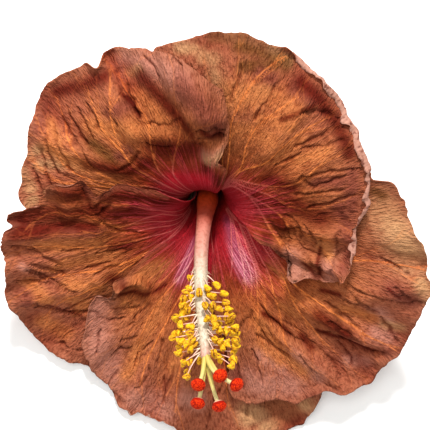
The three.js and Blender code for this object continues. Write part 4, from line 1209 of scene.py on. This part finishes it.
# %% A tube from a grid
def ring_grid(name, rings, sides):
    """A grid that is to be rolled up, and the ring and the side that each point belongs to."""
    piece = primitive(name, "grid", x_subdivisions=sides, y_subdivisions=rings - 1, size=2)
    flat = places_of(piece)
    ring = np.rint((flat[:, 1] + 1) / 2 * (rings - 1)).astype(int)
    return piece, ring, np.rint((flat[:, 0] + 1) / 2 * sides) % sides


def tube(name, centres, rights, fronts, radii, sides, shape=None):
    """Rings round a line of places. radii is one width a ring; shape changes it round the ring."""
    piece, ring, side = ring_grid(name, len(centres), sides)
    angle = side * 2 * np.pi / sides
    radius = np.asarray(radii, float)[ring]
    if shape:
        radius = radius * shape(ring, angle)
    aside = np.asarray(rights)[ring] * np.cos(angle)[:, None]
    aside = aside + np.asarray(fronts)[ring] * np.sin(angle)[:, None]
    move_to(piece, laid(np.asarray(centres)[ring] + aside * radius[:, None]))
    give(piece, "along", ring / (len(centres) - 1))
    sealed(piece)
    return piece


def swept(name, places, radii, sides=6, rings=8):
    """A thin tube along a smooth curve that starts at the first of three places and ends at the last."""
    t = np.linspace(0, 1, rings)[:, None]
    a, b, c = (np.asarray(p, float) for p in places)
    centres = a * (1 - t) ** 2 + b * 2 * t * (1 - t) + c * t**2
    ahead = unit(np.gradient(centres, axis=0))
    leaning = unit(ahead[0] + [0.3, 0.9, 0.2])  # any direction that isn't straight ahead
    rights = unit(np.cross(ahead, unit(np.cross(ahead, leaning))))
    widths = np.interp(np.linspace(0, 1, rings), np.linspace(0, 1, len(radii)), radii)
    ends = [0, *range(rings), rings - 1]
    return tube(name, centres[ends], rights[ends], np.cross(ahead, rights)[ends], [0, *widths, 0], sides)


# %% [markdown]
# ## The column
# Its wall is smooth below and a little lumpy where the filaments leave it. At the tip it ends in a short
# crown round the style, so its last rings turn in and go back down inside. It is orange brown down in the
# throat, painted lighter there than its own colour as painted light where the petals shade it, salmon above
# it, and cream in its last third.

# %% The column's mesh
OUTSIDE_RINGS, COLUMN_SIDES = 130, 40
TIP_GAP = 0.6  # from the last of those rings to the crown
CROWN = [(96.0, 1.7), (96.3, 1.5), (96.0, 1.28), (94.0, 1.2), (91.0, 1.15), (91.0, 0.0)]
LUMPS_ROUND, LUMPS_ALONG, LUMPS_FROM, LUMPS_OVER = 20, 0.9, 58, 8

outside = np.linspace(0, COLUMN_LENGTH - TIP_GAP, OUTSIDE_RINGS)
stations = np.concatenate([[0.0], outside, [length for length, _ in CROWN]])
radii = np.concatenate([[0.0], curve_at(COLUMN_OUTSIDE, outside), [radius for _, radius in CROWN]])


def lumps(ring, angle):
    along = stations[ring]
    rough = noise(angle * LUMPS_ROUND / np.pi / 2, along * LUMPS_ALONG, 31)
    return 1 + 0.02 * np.cos(5 * angle + 0.4) + 0.035 * (rough * smooth((along - LUMPS_FROM) / LUMPS_OVER))


centres, ahead, rights, fronts = column_frame(stations)
column = tube("column_tube", centres, rights, fronts, radii, COLUMN_SIDES, lumps)


# %% The column's finish
def column_finish():
    material, wire = finish("column_salmon_to_cream")
    where = wire.places()
    streaks = wire.speckle(wire.node("Mapping", None, {"Vector": where, "Scale": (1, 1, 0.2)}), 900.0, 2.0)
    blotch = wire.speckle(where, 220.0, 2.0)
    up_the_outside = wire.attribute("along") * (stations.size / (OUTSIDE_RINGS + 1))
    # Down in the throat the orange brown is painted lighter than it is, as painted light where the petals
    # shade it.
    colour = (up_the_outside + (blotch - 0.5) * 0.05).colours(
        (0.0, "#a8380c"), (0.12, "#c4480e"), (0.24, "#b84418"), (0.36, "#a04c3a"), (0.46, "#bc7c6c"),
        (0.56, "#c08c7c"), (0.68, "#bcb09a"), (0.94, "#bcb09a"), (1.0, "#c09484"),
    )
    colour = colour.times("#cbb4a4", (1 - streaks).ramp(0.45, 0.7) * 0.5)
    return coat(material, colour, 0.5, streaks, 0.0001, coat_weight=0.05)


hand_over(column, "column", ["staminal_column"], column_finish())

# %% [markdown]
# ## Stamens
# Some seventy stamens stand on the column's upper half, thick on its sides and sparse on its front. Each
# is a thin filament with a kidney-shaped anther that has burst open, so its skin is covered with grains of
# pollen. One anther is modelled, from a sphere that is bent and given its grains, and the others are
# copies of it, each turned its own way. Instances would be lighter, but the export drops them. The list
# gives each anther's place: along the column, to the right of its line and to the front.

# %% Where the anthers are
ANTHERS = [
    [62.0, -3.8, -3.5], [68.3, 6.1, 1], [69.0, -4.4, 0.5], [70.9, -5.6, 1.5], [71.0, 2.6, 4.2],
    [72.0, 8.4, 1.5], [72.3, 3.1, 2.2], [72.9, -4.1, 0.5], [72.9, -0.7, 4.6], [73.9, -6.8, 2.2],
    [73.9, 4.3, 3.6], [74.7, -5.0, -1], [75.7, 9.2, 1], [76.4, -7.2, 2.5], [77.9, -5.2, 1.5],
    [78.0, 4.0, 5], [78.0, 10.0, 0.5], [78.5, -7.3, 0], [78.5, 1.3, 6.2], [79.0, 6.4, 3.5],
    [79.8, -6.5, -1.5], [80.6, -9.9, 1], [81.1, 9.1, -0.5], [81.7, 11.1, 2], [82.5, 9.8, -2.5],
    [82.9, 4.0, 4], [83.1, 1.7, 6], [83.8, -8.4, 2.5], [85.0, -4.5, 3], [85.7, 4.3, 5.2],
    [86.0, -8.0, -1.5], [86.1, -9.3, 0.5], [86.1, 12.0, 2], [86.6, -10.7, -1], [86.7, 8.7, 0.5],
    [87.1, -4.8, 2], [87.3, 6.0, 3], [87.4, 10.9, -0.5], [87.8, 12.1, -2.5], [88.1, -11.9, 1],
    [89.6, -8.7, 1.5], [90.1, -4.5, 3.5], [90.7, -9.5, -3.5], [90.8, 4.0, 4.2], [91.0, 11.7, 1.5],
    [91.3, -3.9, 1.5], [91.4, -6.5, 3.2], [91.7, 5.7, 3.6], [92.1, 8.4, 2.6], [92.6, 11.4, -0.5],
    [93.6, -5.4, 2.8], [93.7, -9.8, 0], [93.7, 6.5, 2.4], [94.1, 10.7, -3], [95.4, 3.2, 3],
    [96.3, 4.3, 1.2], [96.8, 5.6, -2.5], [97.3, -6.2, 0], [97.7, 10.2, 0.8], [98.2, -8.3, 2.5],
    [100.1, -7.0, -3], [100.4, 9.2, 2], [103.3, -7.4, 1],
    # Behind the column, out of the front view.
    [66, 0.8, -8.2], [71, -1.6, -8.8], [75, 3.0, -8.0], [79, -0.6, -9.0], [83, 2.0, -8.4],
    [87, -2.4, -8.2], [91, 1.2, -8.8], [95, -1.8, -7.4], [85, -5.6, -6.6], [81, 6.2, -6.2],
]
COLUMN_HERE = 2.3  # the column's radius among the stamens, near enough
SHORTEST_FILAMENT, LEAST_RISE = 6.4, 1.2
LAST_ROOT, ROOT_DEPTH = 94, 0.4
FILAMENT_BOW = 0.12  # of its length
print("anthers:", len(ANTHERS))


def stamen_places(along, aside, front):
    """The root, middle and tip of the filament whose anther is here."""
    centre, _, right, forward = column_at(along)
    tip = centre + right * aside + forward * front
    out = math.hypot(aside, front) - COLUMN_HERE
    rise = max(LEAST_RISE, math.sqrt(max(0.0, SHORTEST_FILAMENT**2 - out**2)))
    root_along = min(along - rise, LAST_ROOT)
    centre, _, right, forward = column_at(root_along)
    way = unit(right * aside + forward * front)
    root = centre + way * (float(curve_at(COLUMN_OUTSIDE, root_along)) - ROOT_DEPTH)
    middle = mixed(root, tip, 0.5) + way * FILAMENT_BOW * np.linalg.norm(tip - root)
    return root, middle, tip


# %% One anther
ANTHER_SIZE = (1.5, 1.12, 1.02)
GRAINS, GRAIN_SIZE = 110, 0.2
SLIT_WIDTH, SLIT_DEPTH, GRAIN_HEIGHT, KIDNEY_BEND = 0.28, 0.3, 0.75, 0.42


def bumps(ball, count, size, narrower, seed):
    """Round bumps spread over a ball of radius 1 by seeded draws: their height at each of its points."""
    centres = unit(np.random.default_rng(seed).normal(size=(count, 3)))
    gap = np.linalg.norm(ball[:, None] - centres[None], axis=2).min(1)
    return np.sqrt(np.maximum(size**2 - (gap * narrower) ** 2, 0))


def anther_template():
    piece = primitive("anther", "ico_sphere", subdivisions=4, radius=1)
    ball = places_of(piece)
    raised = bumps(ball, GRAINS, GRAIN_SIZE, 0.9, 5)
    slit = np.exp(-((ball[:, 2] / SLIT_WIDTH) ** 2)) * smooth((ball[:, 1] + 0.2) / 0.8)
    body = ball * ANTHER_SIZE * (1 - SLIT_DEPTH * slit + GRAIN_HEIGHT * raised)[:, None]
    body[:, 1] -= KIDNEY_BEND * (body[:, 0] ** 2 - 0.9)
    move_to(piece, body)
    # The slit is marked to be painted darker, as painted shade.
    give(piece, "hollow", slit)
    give(piece, "grain", raised / GRAIN_SIZE)
    return piece


# %% All stamens
FULL_TURN = 6.28  # radians, near enough
ANTHER_SCALES = (1.0, 1.24)
FILAMENT_RADII = (0.34, 0.24, 0.2, 0.2)

template = anther_template()
anther_shape = places_of(template)
draw = np.random.default_rng(17)
anthers, filaments = [], []
for i, stamen in enumerate(ANTHERS):
    places = stamen_places(*stamen)
    turns = [Matrix.Rotation(draw.uniform(0, FULL_TURN), 3, axis) for axis in "XYZ"]
    turned = np.array(turns[0] @ turns[1] @ turns[2])
    body = anther_shape @ turned.T * draw.uniform(*ANTHER_SCALES) + places[-1]
    anthers.append(copied(template, f"anther_{i}", laid(body)))
    filaments.append(swept(f"filament_{i}", places, FILAMENT_RADII))
bpy.data.objects.remove(template)
anthers, filaments = joined("anthers", anthers), joined("filaments", filaments)


# %% Pollen and filaments
def pollen_finish():
    material, wire = finish("pollen_yellow")
    patch = wire.speckle(wire.places(), 500.0, 2.0)
    # Darker in the slit, as painted shade.
    tone = patch * 0.6 + wire.attribute("grain") * 0.4 - wire.attribute("hollow") * 0.55
    colour = tone.colours((0.0, "#5e3400"), (0.25, "#a87200"), (0.5, "#cc9600"), (0.8, "#e6bc10"))
    return coat(material, colour, 0.75)


def filament_finish():
    material, wire = finish("filament_pale_pink")
    colour = wire.attribute("along").colours((0.0, "#d8ccb0"), (0.4, "#d6b0a0"), (1.0, "#cc8c7a"))
    return coat(material, colour, 0.4, coat_weight=0.1)


FILAMENT_FINISH = filament_finish()
hand_over(anthers, "column", ["staminal_column"], pollen_finish())
hand_over(filaments, "column", ["staminal_column"], FILAMENT_FINISH)

# %% [markdown]
# ## Hairs
# Between the filaments the column bristles with short pale hairs. A particle system would be the quick
# way, but the export drops particles. So each hair is a four-sided spike with only a few faces, copied by
# the hundred.

# %% Hairs
HAIRS, HAIR_RADIUS = 170, 0.11
HAIRS_BETWEEN = (60, 95.5)  # lengths up the column
HAIR_LENGTHS = (1.2, 2.9)
HAIR_LEANS = (0.1, 0.9)  # how far it leans ahead for each millimetre out
HAIR_ROOT = 0.12

template = primitive(
    "hair", "cone", vertices=4, radius1=HAIR_RADIUS, radius2=0.0, depth=1.0, end_fill_type="NGON"
)
spike = places_of(template) + [0, 0, 0.5]
hairs = []
for i in range(HAIRS):
    along = draw.uniform(*HAIRS_BETWEEN)
    centre, ahead, right, forward = column_at(along)
    angle = draw.uniform(0, 2 * np.pi)
    out = right * np.cos(angle) + forward * np.sin(angle)
    way = unit(out + ahead * draw.uniform(*HAIR_LEANS))
    aside = unit(np.cross(way, ahead))
    axes = np.stack([aside, np.cross(way, aside), way * draw.uniform(*HAIR_LENGTHS)], 1)
    root = centre + out * (float(curve_at(COLUMN_OUTSIDE, along)) - HAIR_ROOT)
    hairs.append(copied(template, f"hair_{i}", laid(spike @ axes.T + root)))
bpy.data.objects.remove(template)
hand_over(joined("column_hairs", hairs), "column", ["staminal_column"], FILAMENT_FINISH)

# %% [markdown]
# ## The style and its stigmas
# Beyond the column's tip the style parts into five soft, yellow green branches. Each ends in a red velvety
# pad, a little flattened, on a pale base. The velvet could be a bump in the material, but it shows in the
# outline, so it is a dense layer of tiny bumps on the pad's own mesh. Branches are given as degrees to the
# right, degrees to the front, and length.

# %% The branches and the pads
BRANCHES = [[-16, 26, 15], [-13, 3, 19.4], [11, -5, 20.4], [25, 41, 15.2], [38, 27, 19.4]]
BRANCH_RADII, BRANCH_SIDES, BRANCH_RINGS = (0.85, 0.95, 0.72, 0.8), 14, 30
STARTS_INSIDE, PARTS_INSIDE = 3.5, 0.5  # how far below the column's tip
STIGMA_RADIUS, STIGMA_FLATTENED = 2.55, np.array([1, 1, 0.84])
PAPILLAE, TUFT_SIZE, TUFT_HEIGHT = 420, 0.1, 0.9
VELVET_FROM, VELVET_OVER = -0.35, 0.3  # heights on a pad of radius 1

start, ahead, right, forward = column_at(COLUMN_LENGTH - STARTS_INSIDE)
parting = column_at(COLUMN_LENGTH - PARTS_INSIDE)[0]
template = primitive("pad", "ico_sphere", subdivisions=5, radius=1)
ball = places_of(template)
velvet = bumps(ball, PAPILLAE, TUFT_SIZE, 0.95, 8) * smooth((ball[:, 2] - VELVET_FROM) / VELVET_OVER)
give(template, "top", ball[:, 2])
give(template, "tuft", velvet / TUFT_SIZE)
branches, pads = [], []
for i, (aside, lifted, length) in enumerate(BRANCHES):
    way = unit(ahead + right * math.tan(math.radians(aside)) + forward * math.tan(math.radians(lifted)))
    bend = parting + ahead * length * 0.3 + way * length * 0.2
    tip = parting + way * (length - STIGMA_RADIUS / 2)
    branches.append(swept(f"branch_{i}", (start, bend, tip), BRANCH_RADII, BRANCH_SIDES, BRANCH_RINGS))
    side = unit(np.cross(way, forward))
    axes = np.stack([side, np.cross(way, side), way], 1)
    pad = ball * (1 + velvet * TUFT_HEIGHT)[:, None] * STIGMA_FLATTENED * STIGMA_RADIUS
    pads.append(copied(template, f"pad_{i}", laid(pad @ axes.T + tip)))
bpy.data.objects.remove(template)


# %% The style's and the stigmas' finish
def style_finish():
    material, wire = finish("style_yellow_green")
    streaks = wire.speckle(wire.places(), 420.0, 3.0)
    colour = (wire.attribute("along") + (streaks - 0.5) * 0.3).colours(
        (0.0, "#b8a252"), (0.45, "#bcaa5c"), (0.75, "#c6b87a"), (1.0, "#ccc294")
    )
    return coat(material, colour, 0.55, streaks, 0.0001)


def stigma_finish():
    material, wire = finish("stigma_red_velvet")
    patch = wire.speckle(wire.places(), 260.0, 2.0)
    tone = patch * 0.5 + wire.attribute("tuft") * 0.5
    red = tone.colours((0.0, "#640a00"), (0.4, "#a81e00"), (0.9, "#d84408"))
    colour = red.painted("#e6b49a", wire.attribute("top").ramp(-0.62, -0.8))
    return coat(material, colour, 0.8, patch, 0.0001, specular_ior_level=0.2)


hand_over(joined("style_branches", branches), "pistil", ["pistil"], style_finish())
hand_over(joined("stigma_pads", pads), "pistil", ["pistil"], stigma_finish())

# %% [markdown]
# ## Rings round the axis
# The calyx, the epicalyx's disc and the stalk are round, so each is a pile of rings from its foot to its
# top. Spin would turn a profile into such a shape, but it can't scallop or slant it. Here each ring is
# a function of the angle, and may do either.

# %% Pieces from rings
def flat_ring(radius, height):
    """A level circle round the axis."""

    def place_at(azimuth):
        around = np.radians(azimuth)
        level = np.full(azimuth.shape, height)
        return np.stack([radius * np.cos(around), radius * np.sin(around), level], 1)

    return place_at


def ring_piece(name, rows, sides):
    """A closed piece from rings, and the ring and the angle, in degrees, of each of its points."""
    piece, row, side = ring_grid(name, len(rows), sides)
    azimuth = side * 360 / sides
    places = np.empty((len(row), 3))
    for i, place_at in enumerate(rows):
        places[row == i] = place_at(azimuth[row == i])
    move_to(piece, laid(places))
    return piece, row, azimuth


def green_finish(name, edge, base, middle, tip):
    """Leathery green from a base colour to a tip's, with another along edges and ribs."""
    material, wire = finish(name)
    where = wire.places()
    patch, grain = wire.speckle(where, 150.0, 3.0), wire.speckle(where, 1100.0, 2.0)
    colour = (wire.attribute("up") + (patch - 0.5) * 0.4).colours((0.0, base), (0.5, middle), (1.0, tip))
    colour = colour.painted(edge, wire.attribute("notch").ramp(0.16, 0.02) * 0.5)
    colour = colour.times("#8a9070", (1 - grain).ramp(0.4, 0.7) * 0.6)
    return coat(material, colour, 0.58, grain * 0.6 + patch * 0.4, 0.00015, sheen_weight=0.15)


# %% [markdown]
# ## The calyx
# Five sepals, grown together into a cup, hold the petals' base. They are leathery and green, ribbed along
# their middles and edges, with browner points. The rings run up the cup's outside to the sepals' scalloped
# edge and down the inside, close under the petals' common surface.

# %% The calyx
SEPALS, CALYX_TURN = 5, 7
CALYX_CUP, CALYX_TIP, CALYX_FLOOR, CALYX_BOTTOM = 17, 29, -1.3, -3.2
CALYX_FOOT = [(0, 0), (2.2, 0), (3.9, 0.15), (5.0, 0.7), (5.5, 1.5)]  # radius, and height above the bottom
CALYX_BORE = 4.4
CALYX_WALL, THINNER_TIPS = 0.8, 0.55
CALYX_CLEAR, CALYX_WIDER, CALYX_WIDER_BY = 0.8, 1.35, 28  # how far it stands off the petals' surface
RIB_HEIGHT, SEAM_HEIGHT, RIB_WIDTH = 0.22, 0.16, 0.1
CALYX_RINGS, CALYX_SIDES = 40, 160


def notch_share(azimuth):
    """1 in a notch between two sepals, 0 on a sepal's middle line."""
    return np.abs(((azimuth - CALYX_TURN) / 360 * SEPALS) % 1 - 0.5) * 2


def calyx_wall(share, inside):
    """The ring so far up the cup, from 0 to 1, on its inside or its outside."""

    def place_at(azimuth):
        notch = notch_share(azimuth)
        reach = CALYX_TIP - (CALYX_TIP - CALYX_CUP) * notch**0.8
        length = reach * share
        lift = -(CALYX_CLEAR + CALYX_WIDER * length / CALYX_WIDER_BY)
        if inside:
            return surface_at(length, azimuth, lift)
        thick = CALYX_WALL * (1 - THINNER_TIPS * share**2)
        rib = RIB_HEIGHT * np.exp(-((notch / RIB_WIDTH) ** 2))
        rib = rib + SEAM_HEIGHT * np.exp(-(((1 - notch) / RIB_WIDTH) ** 2)) * smooth(1.4 - share)
        return surface_at(length, azimuth, lift - thick - rib * smooth(4 * (1 - share)))

    return place_at


rows = [flat_ring(radius, CALYX_BOTTOM + height) for radius, height in CALYX_FOOT]
rows += [calyx_wall(i / CALYX_RINGS, False) for i in range(CALYX_RINGS + 1)]
rows += [calyx_wall(i / CALYX_RINGS, True) for i in range(CALYX_RINGS, -1, -2)]
rows += [flat_ring(CALYX_BORE, CALYX_FLOOR), flat_ring(0, CALYX_FLOOR)]
calyx, row, azimuth = ring_piece("calyx_cup", rows, CALYX_SIDES)
give(calyx, "up", np.clip((row - len(CALYX_FOOT)) / CALYX_RINGS, 0, 1))
give(calyx, "notch", notch_share(azimuth))
sealed(calyx)
sepal_green = green_finish("sepal_green", "#b6bd74", "#93a052", "#74883a", "#8d8a48")
hand_over(calyx, "sepals", ["calyx"], sepal_green)

# %% [markdown]
# ## The epicalyx
# Below the calyx stands a ring of seven narrow bracts on a small green disc. One is modelled from a grid,
# keeled along its middle, and turned copies of it are thickened by Solidify.

# %% The epicalyx
BRACTEOLES, BRACTEOLE_LENGTH, BRACTEOLE_WIDTH, BRACTEOLE_THICKNESS = 7, 15, 2.4, 0.55
BRACTEOLE_TURN, KEEL_DEPTH = 20, 0.3  # degrees and millimetres
EPICALYX_TOP, EPICALYX_HEIGHT = -3.5, 1.6
# The disc's radius, and how far below its top, as a share of its height.
DISC_PROFILE = [(0, 1), (2.6, 1), (3.5, 0.8), (4.1, 0.45), (4.2, 0.125), (3.9, 0), (0, 0)]

template = primitive("bracteole", "grid", x_subdivisions=40, y_subdivisions=10, size=2)
flat = places_of(template)
t, across = (flat[:, 0] + 1) / 2, flat[:, 1]
out = 3 + 6.8 * np.sin(t * 1.35) + 4.6 * t * t
rise = EPICALYX_TOP - EPICALYX_HEIGHT / 2 + BRACTEOLE_LENGTH * t**1.7 * 0.72
half = BRACTEOLE_WIDTH / 2 * (1 - 0.2 * t - 0.72 * t**4) * np.sqrt(np.clip(1.02 - t**8, 0.02, 1))
keel = KEEL_DEPTH * (np.abs(across) - 0.5) * (1 - t)
leaf = np.stack([out - keel, across * half, rise + 0.3 * keel], 1)
give(template, "up", t)
give(template, "notch", np.abs(across))
bracts = []
for i in range(BRACTEOLES):
    turned = np.array(Matrix.Rotation(math.radians(360 * i / BRACTEOLES + BRACTEOLE_TURN), 3, "Z"))
    bract = copied(template, f"bracteole_{i}", laid(leaf @ turned.T))
    modify(bract, "SOLIDIFY", thickness=BRACTEOLE_THICKNESS * MM, offset=0)
    bracts.append(bract)
bpy.data.objects.remove(template)

rows = [flat_ring(radius, EPICALYX_TOP - EPICALYX_HEIGHT * below) for radius, below in DISC_PROFILE]
disc, row, azimuth = ring_piece("epicalyx_disc", rows, 60)
give(disc, "up", np.zeros(len(row)))
give(disc, "notch", np.ones(len(row)))
sealed(disc)
bract_green = green_finish("bract_green", "#a8b468", "#84924a", "#6c8038", "#7c7a40")
hand_over(joined("epicalyx_bracts", [disc, *bracts]), "sepals", ["epicalyx"], bract_green)

# %% [markdown]
# ## The stalk
# A short length of the flower's stalk was picked with it. It is faintly ribbed, thickens below the
# calyx, and its cut end lies flat on the surface, so the lowest rings are slanted.

# %% The stalk
STALK_TOP, STALK_LENGTH = -5.4, 9
STALK_OUTSIDE = [[0, 2.0], [0.3, 1.86], [0.75, 1.95], [0.9, 2.35], [1, 2.9]]
CUT_END = (0, 1.1, 1.7, 1.95)  # the radii of the rings on the cut end
STALK_RINGS, STALK_SIDES = 30, 54
STALK_RIBS, STALK_RIB_DEPTH = 9, 0.03
STALK_BOTTOM = STALK_TOP - STALK_LENGTH
UPRIGHT = LYING.T @ np.array([0, 0, 1.0])  # straight up from the surface, in the bloom's frame


def stalk_row(radius, height, slant):
    """A ring of the stalk: level where slant is 0, and parallel to the surface where it is 1."""
    ring = flat_ring(radius, height)

    def place_at(azimuth):
        places = ring(azimuth)
        ribbed = STALK_RIB_DEPTH * np.cos(np.radians(azimuth) * STALK_RIBS) * (radius > 1)
        places[:, :2] *= (1 + ribbed)[:, None]
        places[:, 2] -= slant * (places[:, :2] @ UPRIGHT[:2]) / UPRIGHT[2]
        return places

    return place_at


rows = [stalk_row(radius, STALK_BOTTOM, 1) for radius in CUT_END]
for t in np.linspace(0, 1, STALK_RINGS):
    rows.append(stalk_row(float(curve_at(STALK_OUTSIDE, t)), STALK_BOTTOM + STALK_LENGTH * t, (1 - t) ** 2))
rows.append(stalk_row(0, STALK_TOP, 0))
stalk, row, azimuth = ring_piece("stalk_cut_short", rows, STALK_SIDES)
give(stalk, "up", np.clip((row - len(CUT_END) + 1) / STALK_RINGS, 0, 1))
give(stalk, "notch", 0.5 + 0.5 * np.cos(np.radians(azimuth) * STALK_RIBS))
sealed(stalk)
stalk_green = green_finish("stalk_green", "#7e6a3c", "#8a7a48", "#6f8038", "#7f9044")
hand_over(stalk, "stalk", ["flower_stalk"], stalk_green)

# %% [markdown]
# ## The light, the surface and the camera
# The bloom lies on a plain pale surface under soft studio light. The camera looks into the throat from 30
# degrees off its axis, a direction in the bloom's own frame, so that it follows the bloom's tilt. A small
# lamp above gives the folds their shadows, and a large weak one in front softens them.

# %% Camera
TARGET = np.array([2.5, 2.68, 34.3])
TOWARDS_CAMERA = np.array([0.0, 0.5, 0.866])
IMAGE_UP = np.array([0.0, 0.866, -0.5])
CAMERA_DISTANCE = 520
SENSOR, FOCAL_PIXELS, IMAGE_WIDTH = 36.0, 1320.0, 430.0
NEAREST, FURTHEST = 0.01, 20  # metres

back = Vector(LYING @ TOWARDS_CAMERA).normalized()
right = Vector(LYING @ IMAGE_UP).cross(back).normalized()
up = back.cross(right)
camera = bpy.data.objects.new("camera", bpy.data.cameras.new("camera"))
bpy.context.collection.objects.link(camera)
camera.data.sensor_width = SENSOR
camera.data.lens = FOCAL_PIXELS / IMAGE_WIDTH * SENSOR
camera.data.clip_start, camera.data.clip_end = NEAREST, FURTHEST
place = Vector(laid(TARGET + TOWARDS_CAMERA * CAMERA_DISTANCE))
camera.matrix_world = Matrix.Translation(place) @ Matrix((right, up, back)).transposed().to_4x4()
bpy.context.scene.camera = camera
print("camera at", [round(x, 3) for x in place], "lens", round(camera.data.lens, 2))

# %% Light and floor
SKY_STRENGTH = 0.5
LIGHT_DISTANCE = 1.5  # metres from the bloom
FLOOR_SIZE = 4

scene = bpy.context.scene
scene.view_settings.view_transform = "Standard"
scene.view_settings.look = "Medium High Contrast"
scene.world = scene.world or bpy.data.worlds.new("world")
scene.world.use_nodes = True
sky = scene.world.node_tree.nodes["Background"]
sky.inputs["Color"].default_value = (1, 1, 1, 1)
sky.inputs["Strength"].default_value = SKY_STRENGTH


def softbox(name, towards, size, power):
    """A square light, in a direction of the picture from the bloom: right, up, towards us."""
    light = bpy.data.objects.new(name, bpy.data.lights.new(name, "AREA"))
    bpy.context.collection.objects.link(light)
    way = (right * towards[0] + up * towards[1] + back * towards[2]).normalized()
    light.location = Vector(laid(TARGET)) + way * LIGHT_DISTANCE
    light.rotation_euler = way.to_track_quat("Z", "Y").to_euler()
    light.data.size, light.data.energy = size, power
    print(f"{name}: {power} W, {size} m wide")


softbox("key_light", (0.05, 0.68, 0.72), 0.2, 25)
softbox("fill_light", (-0.15, 0.1, 1.0), 0.8, 10)

floor = primitive("floor", "plane", size=FLOOR_SIZE)
floor.data.materials.append(coat(finish("pale_surface")[0], "#f4f4f2", 0.8))
